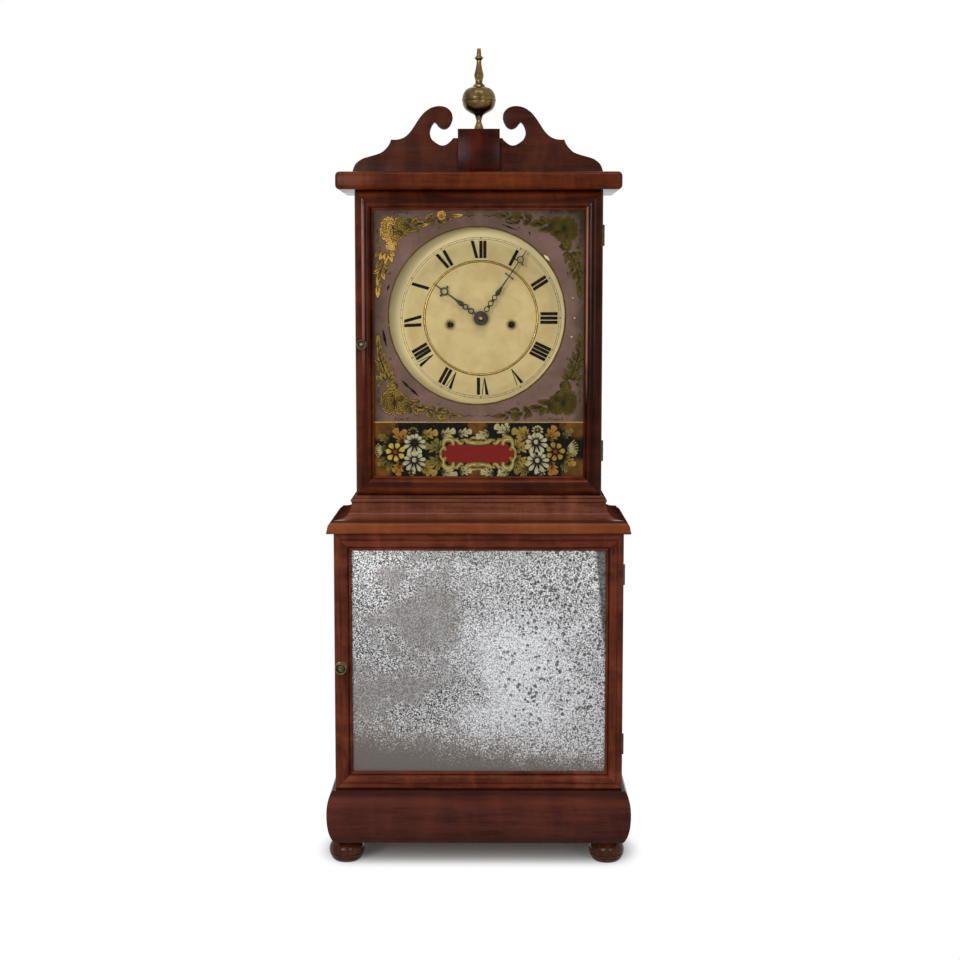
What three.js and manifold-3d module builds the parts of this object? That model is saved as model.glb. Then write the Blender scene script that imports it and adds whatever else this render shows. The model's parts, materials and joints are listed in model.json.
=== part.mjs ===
// Shelf clock: a mahogany case with a mirrored lower door, a stepped waist, a glazed hood
// door, a cornice, a scrolled crest and a brass ball finial, and an eight-day
// weight-driven striking movement behind a painted dial.
// Millimetres, +Z up, the front faces -Y, the origin is at the bottom centre.

import * as THREE from 'three';
import { mergeVertices } from 'three/addons/utils/BufferGeometryUtils.js';
import Module from 'manifold-3d';

const wasm = await Module();
wasm.setup();

// Clearances
const fit = 0.3;
const seat = 0.1;
const doorGap = 0.4;
const mitreGap = 0.1;
const overrun = 2;
const weld = 0.001;

// Carcase
const caseHalfWidth = 170.1;
const caseDepth = 132;
const boardThickness = 12;
const backThickness = 7.2;
const footHeight = 28;
const footRadius = 21.2;
const footInset = 13.9;
const footOffset = -2.6;
const frontFootSetback = 3.2;
const rearFootSetback = 23.2;
const baseHeight = 64;
const baseThickness = 21.5;
const baseBulge = 10.1;
const baseTopStep = 3.6;
const baseFootStep = 1.4;
const waistHeight = 42;
const waistProjection = 7.6;
const hoodSetback = 25.3;
const corniceThickness = 20.5;
const corniceOverhang = 20.6;
const corniceRound = 5;

// Waist moulding, each step measured in from the outermost edge
const ovoloFoot = 3;
const ovoloDepth = 6.5;
const ovoloTop = 13.3;
const filletDepth = 12;
const filletTop = 15.2;
const coveDepth = 28;
const coveTop = 34;
const beadDepth = 24.5;
const beadTop = 38.8;

// Crest, plinth and finial
const crestHalfWidth = 147.5;
const crestHeight = 77.5;
const crestThickness = 11;
const crestSetback = 21;
const plinthHalfWidth = 24.3;
const plinthDepth = 44;
const plinthHeight = 49.4;
const plinthProud = 6;
const finialHeight = 93.6;
const finialRadius = 19.7;

// Doors
const doorThickness = 20;
const hoodDoorHeight = 355.4;
const lowerDoorHeight = 306.2;
const hoodStile = 21.6;
const lowerStile = 20.7;
const hoodRound = 8;
const lowerBead = 3.5;
const lowerEdgeRound = 2.4;
const lowerInnerRound = 4.5;
const lowerBeadDrop = 6;
const rabbetWidth = 5.5;
const rabbetDepth = 12;
const glassThickness = 2.5;
const mirrorThickness = 3;
const mirrorBoardThickness = 5;

// Hinges
const hingeHeight = 24.6;
const hingeLeafWidth = 11;
const hingeLeafThickness = 1.2;
const hingeOffset = 0.6;
const knuckleRadius = 2.2;
const hingePinRadius = 1.1;
const hoodHingeInset = 51;
const lowerHingeInset = 51;

// Knobs and their turn catches
const lowerKnobReach = 14;
const hoodKnobReach = 12;
const lowerKnobRadius = 7.2;
const hoodKnobRadius = 6;
const knobInset = 8.4;
const spindleRadius = 2;
const camLength = 6.3;
const camHalfWidth = 2.5;
const camThickness = 2.4;
const catchLip = 4;
const catchWall = 1.4;
const lowerKnobDrop = 5.3;
const hoodKnobDrop = 0.4;

// Dial and hands
const dialOffset = 2.2;
const dialDrop = 147.8;
const dialMargin = 14.7;
const dialThickness = 1.5;
const dialFaceSetbackShare = 0.1212;
const dialHoleRadius = 6.4;
const windingHoleRadius = 4.3;
const dialFootRadius = 2.4;
const dialFootSpread = 48;
const dialFootDrop = 52;
const dialFootRise = 71;
const hourHandLength = 70;
const minuteHandLength = 96.5;
const handThickness = 1.2;
const handHubRadius = 7.7;
const handWidth = 3;
const handRingRadius = 4.6;
const hourHandTurn = THREE.MathUtils.degToRad(-54);
const minuteHandTurn = THREE.MathUtils.degToRad(34.2);

// Movement
const plateHalfWidth = 58;
const plateRise = 82;
const plateThickness = 2.5;
const plateSpaceShare = 0.3434;
const dialStandoffShare = 0.101;
const pillarRadius = 4;
const pillarSpread = 40;
const lowerPillarDrop = 54;
const upperPillarRise = 74;
const windingSpread = 36.5;
const windingDrop = 7.9;
const windingSquare = 5;
const windingArborRadius = 3.2;
const arborRadius = 1.8;
const pivotGap = 0.3;
const wheelThicknessShare = 0.0471;
const greatWheelThicknessShare = 0.0647;
const drumRadius = 14;
const drumFlangeShare = 0.0588;
const drumLengthShare = 0.4412;
const drumStartShare = 0.1912;
const hubRadius = 4.6;
const rimWidth = 3.4;
const spokeWidth = 2.6;

// Going train
const greatTeeth = 72;
const centrePinionLeaves = 8;
const centreTeeth = 72;
const thirdPinionLeaves = 8;
const thirdTeeth = 66;
const escapePinionLeaves = 7;
const escapeTeeth = 30;
const centreModule = 0.75;
const thirdModule = 0.6;
const escapeRadius = 15;
const escapeToothDepth = 3;
const thirdAcross = 12;
const palletRise = 21.2;
const centreWheelLayerShare = 0.0676;
const thirdWheelLayerShare = 0.3088;
const escapeWheelLayerShare = 0.5;
const timeWheelLayerShare = 0.6912;
const strikeWheelLayerShare = 0.8412;
const pinionOverlapShare = 0.0412;

// Motion work in front of the front plate
const cannonTeeth = 15;
const minuteTeeth = 45;
const minutePinionLeaves = 8;
const hourTeeth = 32;
const motionDrop = 24;
const motionGap = 0.8;
const motionThickness = 1.4;
const hourPipeRadius = 4.6;
const cannonPipeRadius = 2.9;
const hourHandLift = 3.2;
const minuteHandLift = 7.4;
const centreArborLift = 10.6;

// Escapement and pendulum
const palletThicknessShare = 0.1176;
const crutchLength = 60;
const crutchWidth = 2.4;
const crutchDepth = 2.5;
const crutchSetback = 2.4;
const pendulumSetbackShare = 0.2222;
const pendulumLength = 497;
const pendulumRodWidth = 3.2;
const bobRadius = 38;
const bobThickness = 14;
const ratingTail = 14;
const suspensionDrop = 6.5;
const cockHalfWidth = 6;
const cockThickness = 5;

// Striking work
const hammerPinCount = 8;
const hammerPinCircle = 29;
const hammerPinRadius = 1;
const hammerPinLengthShare = 0.1941;
const hammerAcross = 54;
const hammerRise = 56;
const hammerHeadRise = 97;
const hammerHeadRadius = 4;
const hammerHeadLength = 11.7;
const hammerArmWidth = 3;
const hammerArmThicknessShare = 0.0882;
const hammerTailLength = 34;
const hammerLayerShare = 0.7206;
const bellAcross = 10;
const bellRadius = 30;
const bellHeight = 24;
const bellWall = 2;
const bellRise = 93;
const bellPostRadius = 2.2;
const bellHeadClearance = 0.3;

// Weights and their lines
const lineRadius = 0.8;
const lineSides = 6;
const lineSteps = 56;
const lineStandoff = 3.5;
const pulleyGrooveDepth = 2.6;
const pulleyFlange = 1.6;
const pulleyThickness = 6.4;
const pulleyRise = 268;
const weightRadius = 22.5;
const weightHeight = 120;
const weightNeck = 10;
const strapThickness = 1.5;
const strapHalfWidth = 4;
const strapTop = 4;
const lineHoleRadius = 3;
const seatBoardThickness = 12;
const seatBoardDrop = 77;
const seatBoardClearance = 5.4;

// Openings in the waist board
const waistSlotHalfWidth = 96;
const waistSlotMargin = 4.8;
const waistSlotRearMargin = 0.2;

// Counts that set how smooth the round work is
const footSides = 20;
const finialSides = 20;
const roundSides = 16;
const smallSides = 10;
const curveSteps = 5;

// Places worked out from the sizes
const overallDepth = caseDepth + doorGap + doorThickness + lowerKnobReach;
const backY = overallDepth / 2;
const backBoardY = backY - backThickness;
const caseFrontY = backY - caseDepth;
const lowerDoorBackY = caseFrontY - doorGap;
const lowerDoorFrontY = lowerDoorBackY - doorThickness;
const hoodFrontY = caseFrontY + hoodSetback;
const hoodDoorBackY = hoodFrontY - doorGap;
const hoodDoorFrontY = hoodDoorBackY - doorThickness;
const hoodHalfWidth = caseHalfWidth - hoodSetback;
const innerHalfWidth = caseHalfWidth - boardThickness;
const hoodInnerHalfWidth = hoodHalfWidth - boardThickness;
const baseTopZ = footHeight + baseHeight;
const lowerDoorZ = [baseTopZ + doorGap, baseTopZ + doorGap + lowerDoorHeight];
const waistZ = lowerDoorZ[1] + doorGap;
const waistBoardTopZ = waistZ + boardThickness;
const waistTopZ = waistZ + waistHeight;
const hoodDoorZ = [waistTopZ + doorGap, waistTopZ + doorGap + hoodDoorHeight];
const corniceZ = hoodDoorZ[1] + doorGap;
const corniceTopZ = corniceZ + corniceThickness;
const plinthTopZ = corniceTopZ + fit + plinthHeight;
const crestFrontY = hoodFrontY - crestSetback + plinthProud;
const plinthFrontY = hoodFrontY - crestSetback;
const hoodInnerDepth = backBoardY - hoodFrontY;
const dialFaceY = hoodFrontY + dialFaceSetbackShare * hoodInnerDepth;
const dialBackY = dialFaceY + dialThickness;
const movementY = dialFaceY + dialStandoffShare * hoodInnerDepth;
const plateSpace = plateSpaceShare * hoodInnerDepth;
const innerY = movementY + plateThickness;
const backPlateY = innerY + plateSpace;
const backPlateRearY = backPlateY + plateThickness;
const dialHeight = hoodDoorZ[1] - dialDrop;
const dialHalfSize = hoodInnerHalfWidth - dialMargin;
const seatBoardTop = dialHeight - seatBoardDrop;
const pulleyHeight = baseTopZ + pulleyRise;
const plateBottom = fit - seatBoardDrop;
const pendulumY = backPlateRearY + pendulumSetbackShare * hoodInnerDepth;
const wheelThickness = wheelThicknessShare * plateSpace;
const greatWheelThickness = greatWheelThicknessShare * plateSpace;
const drumFlange = drumFlangeShare * plateSpace;
const drumLength = drumLengthShare * plateSpace;
const drumStart = drumStartShare * plateSpace;
const centreWheelLayer = centreWheelLayerShare * plateSpace;
const thirdWheelLayer = thirdWheelLayerShare * plateSpace;
const escapeWheelLayer = escapeWheelLayerShare * plateSpace;
const timeWheelLayer = timeWheelLayerShare * plateSpace;
const strikeWheelLayer = strikeWheelLayerShare * plateSpace;
const pinionOverlap = pinionOverlapShare * plateSpace;
const palletThickness = palletThicknessShare * plateSpace;
const hammerPinLength = hammerPinLengthShare * plateSpace;
const hammerLayer = hammerLayerShare * plateSpace;
const hammerArmThickness = hammerArmThicknessShare * plateSpace;
const centreDistance = Math.hypot(windingSpread, windingDrop);
const greatModule = 2 * centreDistance / (greatTeeth + centrePinionLeaves);
const thirdDistance = centreModule * (centreTeeth + thirdPinionLeaves) / 2;
const thirdRise = Math.sqrt(thirdDistance ** 2 - thirdAcross ** 2);
const escapeDistance = thirdModule * (thirdTeeth + escapePinionLeaves) / 2;
const escapeRise = thirdRise + Math.sqrt(escapeDistance ** 2 - thirdAcross ** 2);
const palletArborRise = escapeRise + palletRise;
const cannonModule = 2 * motionDrop / (cannonTeeth + minuteTeeth);
const hourModule = 2 * motionDrop / (minutePinionLeaves + hourTeeth);
const lineNearY = innerY + drumStart + drumLength / 2;
const lineFarY = backPlateRearY + lineStandoff;
const pulleyRadius = (lineFarY - lineNearY) / 2;
const pulleyGroove = pulleyRadius - pulleyGrooveDepth;
const lineAcross = windingSpread + drumRadius + lineRadius + fit;
const lineTopRise = -windingDrop;

// Finishes
const finishes = {
  mahogany: { color: 0x5a2a1e, roughness: 0.38, metalness: 0 },
  flame: { color: 0x753c23, roughness: 0.34, metalness: 0 },
  crestWood: { color: 0x46251d, roughness: 0.42, metalness: 0 },
  pine: { color: 0x9a7548, roughness: 0.8, metalness: 0 },
  brass: { color: 0x7d6738, roughness: 0.35, metalness: 1 },
  iron: { color: 0x2b2a29, roughness: 0.6, metalness: 0.8 },
  blackHand: { color: 0x0f0e0d, roughness: 0.5, metalness: 0.3 },
  dialPaint: { color: 0xc6b47d, roughness: 0.55, metalness: 0 },
  glass: { color: 0x70594e, roughness: 0.08, metalness: 0 },
  mirror: { color: 0xa8a6a4, roughness: 0.15, metalness: 1 },
  steel: { color: 0x8d8c88, roughness: 0.35, metalness: 1 },
  gut: { color: 0xa58c5c, roughness: 0.7, metalness: 0 },
};

// Keeps only the corners, joins equal ones and drops faces that have no area
function closed(geometry) {
  const bare = geometry.clone();
  for (const name of Object.keys(bare.attributes)) {
    if (name !== 'position') bare.deleteAttribute(name);
  }
  const merged = mergeVertices(bare, weld);
  const corners = merged.getIndex().array;
  const kept = [];
  for (let i = 0; i < corners.length; i += 3) {
    const [a, b, c] = [corners[i], corners[i + 1], corners[i + 2]];
    if (a !== b && b !== c && c !== a) kept.push(a, b, c);
  }
  merged.setIndex(kept);
  merged.computeVertexNormals();
  return merged;
}

function toSolid(geometry) {
  const mesh = closed(geometry);
  const vertProperties = new Float32Array(mesh.getAttribute('position').array);
  const triVerts = new Uint32Array(mesh.getIndex().array);
  return new wasm.Manifold(new wasm.Mesh({ numProp: 3, vertProperties, triVerts }));
}

function toGeometry(solid) {
  const mesh = solid.getMesh();
  const geometry = new THREE.BufferGeometry();
  geometry.setAttribute('position', new THREE.BufferAttribute(mesh.vertProperties, 3));
  geometry.setIndex(Array.from(mesh.triVerts));
  return closed(geometry);
}

function joined(...geometries) {
  const solids = geometries.map(toSolid);
  return toGeometry(solids.reduce((whole, next) => whole.add(next)));
}

function cut(geometry, ...tools) {
  const solids = tools.map(toSolid);
  return toGeometry(solids.reduce((rest, tool) => rest.subtract(tool), toSolid(geometry)));
}

function common(geometry, other) {
  return toGeometry(toSolid(geometry).intersect(toSolid(other)));
}

// A box between two values on each axis
function block([x0, x1], [y0, y1], [z0, z1]) {
  const geometry = new THREE.BoxGeometry(x1 - x0, y1 - y0, z1 - z0);
  geometry.translate((x0 + x1) / 2, (y0 + y1) / 2, (z0 + z1) / 2);
  return geometry;
}

// An outline in X and Y, carried along Z
function prismZ(shape, [z0, z1], steps = curveSteps) {
  const options = { depth: z1 - z0, bevelEnabled: false, curveSegments: steps };
  return new THREE.ExtrudeGeometry(shape, options).translate(0, 0, z0);
}

// An outline in X and Z, carried along Y
function prismY(shape, [y0, y1], steps = curveSteps) {
  const options = { depth: y1 - y0, bevelEnabled: false, curveSegments: steps };
  const geometry = new THREE.ExtrudeGeometry(shape, options);
  return geometry.rotateX(Math.PI / 2).translate(0, y1, 0);
}

// A profile of [radius, place] pairs turned about the Y axis
function turnedY(profile, sides = roundSides) {
  const points = profile.map(([radius, place]) => new THREE.Vector2(radius, place));
  return new THREE.LatheGeometry(points, sides);
}

function turnedZ(profile, sides = roundSides) {
  return turnedY(profile, sides).rotateX(Math.PI / 2);
}

function turnedX(profile, sides = roundSides) {
  return turnedY(profile, sides).rotateZ(-Math.PI / 2);
}

function rod(radius, [from, to]) {
  return [[0, from], [radius, from], [radius, to], [0, to]];
}

function tube(inner, outer, [from, to]) {
  return [[inner, from], [outer, from], [outer, to], [inner, to], [inner, from]];
}

// A solid through a row of matching outlines, closed at both ends
function loft(rings, outline) {
  const count = outline.length;
  const corners = rings.flat();
  const faces = [];
  for (let r = 0; r + 1 < rings.length; r += 1) {
    for (let i = 0; i < count; i += 1) {
      const j = (i + 1) % count;
      const [a, b, c, d] = [r * count + i, r * count + j, (r + 1) * count + j, (r + 1) * count + i];
      faces.push([a, b, c], [a, c, d]);
    }
  }
  const last = (rings.length - 1) * count;
  for (const [a, b, c] of THREE.ShapeUtils.triangulateShape(outline, [])) {
    faces.push([c, b, a], [last + a, last + b, last + c]);
  }
  let volume = 0;
  for (const [a, b, c] of faces) {
    volume += corners[a].dot(new THREE.Vector3().crossVectors(corners[b], corners[c]));
  }
  const index = faces.flatMap(([a, b, c]) => (volume > 0 ? [a, b, c] : [a, c, b]));
  const geometry = new THREE.BufferGeometry().setFromPoints(corners);
  geometry.setIndex(index);
  return closed(geometry);
}

// The corners of an outline as one counterclockwise list without a repeated end
function outlineOf(shape, steps = curveSteps) {
  const points = shape.getPoints(steps).map((p) => p.clone());
  while (points[0].distanceTo(points[points.length - 1]) < weld) points.pop();
  if (THREE.ShapeUtils.area(points) < 0) points.reverse();
  return points.filter((p, i) => i === 0 || p.distanceTo(points[i - 1]) > weld);
}

// One turned bun foot standing on the floor
function footGeometry() {
  const shares = [[0.6, 0], [0.78, 0.1], [0.95, 0.3], [1, 0.5], [0.95, 0.72], [0.8, 0.86], [0.72, 0.9], [0.72, 1]];
  const profile = shares.map(([r, z]) => [r * footRadius, z * (footHeight - seat)]);
  return turnedZ([[0, 0], ...profile, [0, footHeight - seat]], footSides);
}

// The swelling section of the base moulding: u inward from the swell, v up from its foot
function baseOutline() {
  const swellShare = 0.55;
  const swellV = baseHeight * swellShare;
  const shape = new THREE.Shape();
  shape.moveTo(baseThickness + baseBulge - baseTopStep, 0);
  shape.lineTo(baseThickness + baseBulge - baseTopStep, baseHeight);
  shape.lineTo(baseBulge - baseTopStep, baseHeight);
  shape.quadraticCurveTo(0, baseHeight - baseBulge, 0, swellV);
  shape.quadraticCurveTo(0, baseBulge, baseBulge - baseFootStep, 0);
  return outlineOf(shape);
}

function baseGeometry() {
  const outline = baseOutline();
  const x = caseHalfWidth + baseBulge;
  const y = lowerDoorFrontY - baseBulge;
  const rings = [
    outline.map((p) => new THREE.Vector3(-x + p.x, backY, footHeight + p.y)),
    outline.map((p) => new THREE.Vector3(-x + p.x, y + p.x, footHeight + p.y)),
    outline.map((p) => new THREE.Vector3(x - p.x, y + p.x, footHeight + p.y)),
    outline.map((p) => new THREE.Vector3(x - p.x, backY, footHeight + p.y)),
  ];
  return loft(rings, outline);
}

const baseInnerX = caseHalfWidth + baseTopStep - baseThickness;
const baseInnerY = lowerDoorFrontY - baseTopStep + baseThickness;

function bottomBoardGeometry() {
  const x = baseInnerX - fit;
  return block([-x, x], [baseInnerY + fit, backBoardY - fit], [footHeight, footHeight + boardThickness]);
}

// The back board: wide behind the lower case, narrow behind the hood
function backBoardGeometry() {
  const shape = new THREE.Shape();
  const low = Math.min(baseInnerX, innerHalfWidth) - fit;
  const high = hoodInnerHalfWidth - fit;
  shape.moveTo(-low, footHeight);
  shape.lineTo(low, footHeight);
  shape.lineTo(low, waistZ - fit);
  shape.lineTo(high, waistZ - fit);
  shape.lineTo(high, corniceZ - fit);
  shape.lineTo(-high, corniceZ - fit);
  shape.lineTo(-high, waistZ - fit);
  shape.lineTo(-low, waistZ - fit);
  return prismY(shape, [backBoardY, backY]);
}

// The board that ties the lower sides together and carries the hood
function waistBoardGeometry() {
  const shape = new THREE.Shape();
  const notch = hoodInnerHalfWidth;
  shape.moveTo(-caseHalfWidth, caseFrontY);
  shape.lineTo(caseHalfWidth, caseFrontY);
  shape.lineTo(caseHalfWidth, backY);
  shape.lineTo(notch, backY);
  shape.lineTo(notch, backBoardY - fit);
  shape.lineTo(-notch, backBoardY - fit);
  shape.lineTo(-notch, backY);
  shape.lineTo(-caseHalfWidth, backY);
  const hole = new THREE.Path();
  const y0 = (lineNearY + lineFarY) / 2 - weightRadius - waistSlotMargin;
  const y1 = pendulumY + bobThickness / 2 + waistSlotRearMargin;
  hole.moveTo(-waistSlotHalfWidth, y0);
  hole.lineTo(-waistSlotHalfWidth, y1);
  hole.lineTo(waistSlotHalfWidth, y1);
  hole.lineTo(waistSlotHalfWidth, y0);
  shape.holes.push(hole);
  return prismZ(shape, [waistZ, waistBoardTopZ]);
}

// The stepped section of the waist moulding, closed by the given inner corners
function waistOutline(innerCorners) {
  const shape = new THREE.Shape();
  shape.moveTo(0, 0);
  shape.lineTo(0, ovoloFoot);
  shape.quadraticCurveTo(0, ovoloTop, ovoloDepth, ovoloTop);
  shape.lineTo(filletDepth, filletTop);
  shape.quadraticCurveTo(coveDepth, filletTop, coveDepth, coveTop);
  shape.lineTo(beadDepth, coveTop);
  shape.quadraticCurveTo(beadDepth - ovoloFoot, (coveTop + beadTop) / 2, beadDepth, beadTop);
  for (const [u, v] of innerCorners) shape.lineTo(u, v);
  return outlineOf(shape);
}

const waistX = caseHalfWidth + waistProjection;
const waistY = lowerDoorFrontY - waistProjection;

function waistFrontGeometry() {
  const boardU = caseFrontY - waistY;
  const rearU = hoodFrontY - waistY;
  const outline = waistOutline([
    [waistX - hoodHalfWidth, waistHeight], [rearU, waistHeight],
    [rearU, boardThickness + seat], [boardU - seat, boardThickness + seat], [boardU - seat, 0],
  ]);
  const ends = [-waistX, waistX];
  const rings = ends.map((x) => outline.map((p) => new THREE.Vector3(x, waistY + p.x, waistZ + p.y)));
  const plan = new THREE.Shape();
  const cornerY = waistY + waistX - hoodHalfWidth;
  plan.moveTo(-waistX + mitreGap, waistY);
  plan.lineTo(waistX - mitreGap, waistY);
  plan.lineTo(hoodHalfWidth - mitreGap, cornerY);
  plan.lineTo(hoodHalfWidth - mitreGap, hoodFrontY - seat);
  plan.lineTo(-hoodHalfWidth + mitreGap, hoodFrontY - seat);
  plan.lineTo(-hoodHalfWidth + mitreGap, cornerY);
  return common(loft(rings, outline), prismZ(plan, [waistZ - overrun, waistTopZ + overrun]));
}

function waistSideGeometry(side) {
  const inner = waistX - hoodHalfWidth - seat;
  const outline = waistOutline([
    [inner, waistHeight], [inner, boardThickness + seat],
    [waistProjection - seat, boardThickness + seat], [waistProjection - seat, 0],
  ]);
  const rings = [
    outline.map((p) => new THREE.Vector3(side * (waistX - p.x), backY, waistZ + p.y)),
    outline.map((p) => new THREE.Vector3(side * (waistX - p.x), waistY + p.x + mitreGap, waistZ + p.y)),
  ];
  return loft(rings, outline);
}

// A pocket in a side's front edge for a turn catch, with a recess behind a lip
function catchPocket(outerX, frontY, knobZ) {
  const knobX = outerX + knobInset;
  const camCorner = camHalfWidth * Math.SQRT2 + fit;
  const pocketX = knobX - camCorner;
  const depth = catchLip + camThickness + 4 * fit;
  const inside = outerX + boardThickness + overrun;
  const low = knobZ - camCorner;
  const high = knobZ + camLength + 4 * fit;
  const pocket = block([pocketX, inside], [frontY - overrun, frontY + depth], [low, high]);
  const recess = block([outerX + catchWall, inside], [frontY + catchLip, frontY + depth], [low, high]);
  return [pocket, recess];
}

// The room that a hinge takes in a front edge: into = 1 for the case, -1 for the door
function hingeMortise(axisX, axisY, centreZ, into) {
  const half = hingeHeight / 2 + fit;
  const z = [centreZ - half, centreZ + half];
  const leafDepth = into * (doorGap / 2 + hingeLeafThickness + fit);
  const barrelDepth = into * (knuckleRadius + fit);
  const out = axisX + knuckleRadius + overrun;
  const leafY = [Math.min(-into * overrun, leafDepth), Math.max(-into * overrun, leafDepth)];
  const barrelY = [Math.min(-into * overrun, barrelDepth), Math.max(-into * overrun, barrelDepth)];
  const placed = ([y0, y1]) => [axisY + y0, axisY + y1];
  return [
    block([axisX - hingeLeafWidth - fit, out], placed(leafY), z),
    block([axisX - knuckleRadius - 2 * fit, out], placed(barrelY), z),
  ];
}

const lowerKnobZ = (lowerDoorZ[0] + lowerDoorZ[1]) / 2 - lowerKnobDrop;
const hoodKnobZ = (hoodDoorZ[0] + hoodDoorZ[1]) / 2 - hoodKnobDrop;
const lowerHinges = [lowerDoorZ[0] + lowerHingeInset, lowerDoorZ[1] - lowerHingeInset];
const hoodHinges = [hoodDoorZ[0] + hoodHingeInset, hoodDoorZ[1] - hoodHingeInset];
const lowerHingeX = caseHalfWidth + hingeOffset;
const hoodHingeX = hoodHalfWidth + hingeOffset;
const lowerHingeY = caseFrontY - doorGap / 2;
const hoodHingeY = hoodFrontY - doorGap / 2;

function lowerSideLeft() {
  const z = [baseTopZ + seat, waistZ - seat];
  const board = block([-caseHalfWidth, -innerHalfWidth], [caseFrontY, backY], z);
  return cut(board, ...catchPocket(-caseHalfWidth, caseFrontY, lowerKnobZ));
}

function lowerSideRight() {
  const z = [baseTopZ + seat, waistZ - seat];
  const board = block([innerHalfWidth, caseHalfWidth], [caseFrontY, backY], z);
  const mortises = lowerHinges.flatMap((h) => hingeMortise(lowerHingeX, lowerHingeY, h, 1));
  return cut(board, ...mortises);
}

function hoodSideLeft() {
  const z = [waistBoardTopZ + seat, corniceZ - seat];
  const board = block([-hoodHalfWidth, -hoodInnerHalfWidth], [hoodFrontY, backY], z);
  return cut(board, ...catchPocket(-hoodHalfWidth, hoodFrontY, hoodKnobZ));
}

function hoodSideRight() {
  const z = [waistBoardTopZ + seat, corniceZ - seat];
  const board = block([hoodInnerHalfWidth, hoodHalfWidth], [hoodFrontY, backY], z);
  const mortises = hoodHinges.flatMap((h) => hingeMortise(hoodHingeX, hoodHingeY, h, 1));
  return cut(board, ...mortises);
}

// The cornice board with all its edges rounded
function corniceGeometry() {
  const shape = new THREE.Shape();
  const x = hoodHalfWidth + corniceOverhang - corniceRound;
  const front = hoodDoorFrontY - corniceOverhang + corniceRound;
  const rear = backY - corniceRound;
  shape.moveTo(-x, front);
  shape.lineTo(x, front);
  shape.lineTo(x, rear);
  shape.lineTo(-x, rear);
  const geometry = new THREE.ExtrudeGeometry(shape, {
    depth: corniceThickness - 2 * corniceRound,
    bevelThickness: corniceRound,
    bevelSize: corniceRound,
    bevelSegments: 3,
  });
  return geometry.translate(0, 0, corniceZ + corniceRound);
}

// The scrolled crest: each run is a smooth curve between two cusps, as shares of its size
const crestShoulderShares = [[0.962, 0.192], [0.862, 0.271], [0.762, 0.336], [0.701, 0.465], [0.686, 0.52]];
const crestScrollShares = [
  [0.616, 0.52], [0.539, 0.623], [0.47, 0.817], [0.401, 0.946], [0.309, 0.998], [0.225, 0.933],
  [0.209, 0.781], [0.262, 0.68], [0.324, 0.731], [0.34, 0.768],
];
const crestThroatShares = [
  [0.378, 0.68], [0.384, 0.608], [0.34, 0.458], [0.294, 0.426], [0.221, 0.472], [0.193, 0.523],
];
const crestCentreShare = 0.526;

function crestOutline() {
  const runs = [crestShoulderShares, crestScrollShares, crestThroatShares];
  const placed = ([u, v]) => new THREE.Vector2(u * crestHalfWidth, v * crestHeight);
  const half = new THREE.Shape();
  half.moveTo(crestHalfWidth, 0);
  for (const run of runs) half.splineThru(run.map(placed));
  const right = half.getPoints(2);
  const left = right.map((p) => new THREE.Vector2(-p.x, p.y)).reverse();
  return new THREE.Shape([...right, ...left]);
}

function crestGeometry() {
  const geometry = prismY(crestOutline(), [crestFrontY, crestFrontY + crestThickness]);
  return geometry.translate(0, 0, corniceTopZ + seat);
}

function plinthGeometry() {
  const slotTop = corniceTopZ + crestCentreShare * crestHeight + 2 * fit;
  const x = plinthHalfWidth;
  const body = block([-x, x], [plinthFrontY, plinthFrontY + plinthDepth], [corniceTopZ + seat, plinthTopZ]);
  const slot = block(
    [-x - overrun, x + overrun],
    [crestFrontY - fit, crestFrontY + crestThickness + fit],
    [corniceTopZ - overrun, slotTop],
  );
  return cut(body, slot);
}

// The finial as [radius, height] shares, from its foot to its tip
function finialGeometry() {
  const shares = [
    [0.3, 0], [0.24, 0.04], [0.17, 0.07], [0.17, 0.115], [0.21, 0.146], [0.355, 0.185], [0.7, 0.225],
    [0.86, 0.265], [0.955, 0.305], [1, 0.368], [1.01, 0.39], [1, 0.4], [0.92, 0.438], [0.79, 0.475],
    [0.66, 0.503], [0.37, 0.525], [0.25, 0.562], [0.19, 0.59], [0.27, 0.638], [0.28, 0.67], [0.23, 0.729],
    [0.14, 0.845], [0.27, 0.869], [0.27, 0.889], [0.14, 0.903], [0.11, 0.985],
  ];
  const profile = shares.map(([r, z]) => [r * finialRadius, z * finialHeight]);
  return turnedZ([[0, 0], ...profile, [0, finialHeight]], finialSides);
}

// Door bar sections: u inward from the outer edge, v forward from the back
function hoodBarOutline() {
  const inner = hoodStile - rabbetWidth;
  const flank = doorThickness - hoodRound;
  const shape = new THREE.Shape();
  shape.moveTo(0, 0);
  shape.lineTo(inner, 0);
  shape.lineTo(inner, rabbetDepth);
  shape.lineTo(hoodStile, rabbetDepth);
  shape.lineTo(hoodStile, flank);
  shape.absellipse(hoodStile / 2, flank, hoodStile / 2, hoodRound, 0, Math.PI, false, 0);
  return outlineOf(shape, 2 * curveSteps);
}

function lowerBarOutline() {
  const inner = lowerStile - rabbetWidth;
  const beadV = doorThickness - lowerBeadDrop;
  const beadU = lowerStile - lowerBead;
  const shape = new THREE.Shape();
  shape.moveTo(0, 0);
  shape.lineTo(inner, 0);
  shape.lineTo(inner, rabbetDepth);
  shape.lineTo(lowerStile, rabbetDepth);
  shape.lineTo(lowerStile, beadV);
  shape.absarc(lowerStile - lowerBead / 2, beadV, lowerBead / 2, 0, Math.PI, false);
  shape.lineTo(beadU, doorThickness - lowerInnerRound);
  shape.quadraticCurveTo(beadU, doorThickness, beadU - lowerInnerRound, doorThickness);
  shape.lineTo(lowerEdgeRound, doorThickness);
  shape.quadraticCurveTo(0, doorThickness, 0, doorThickness - lowerEdgeRound);
  return outlineOf(shape, 4);
}

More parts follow.
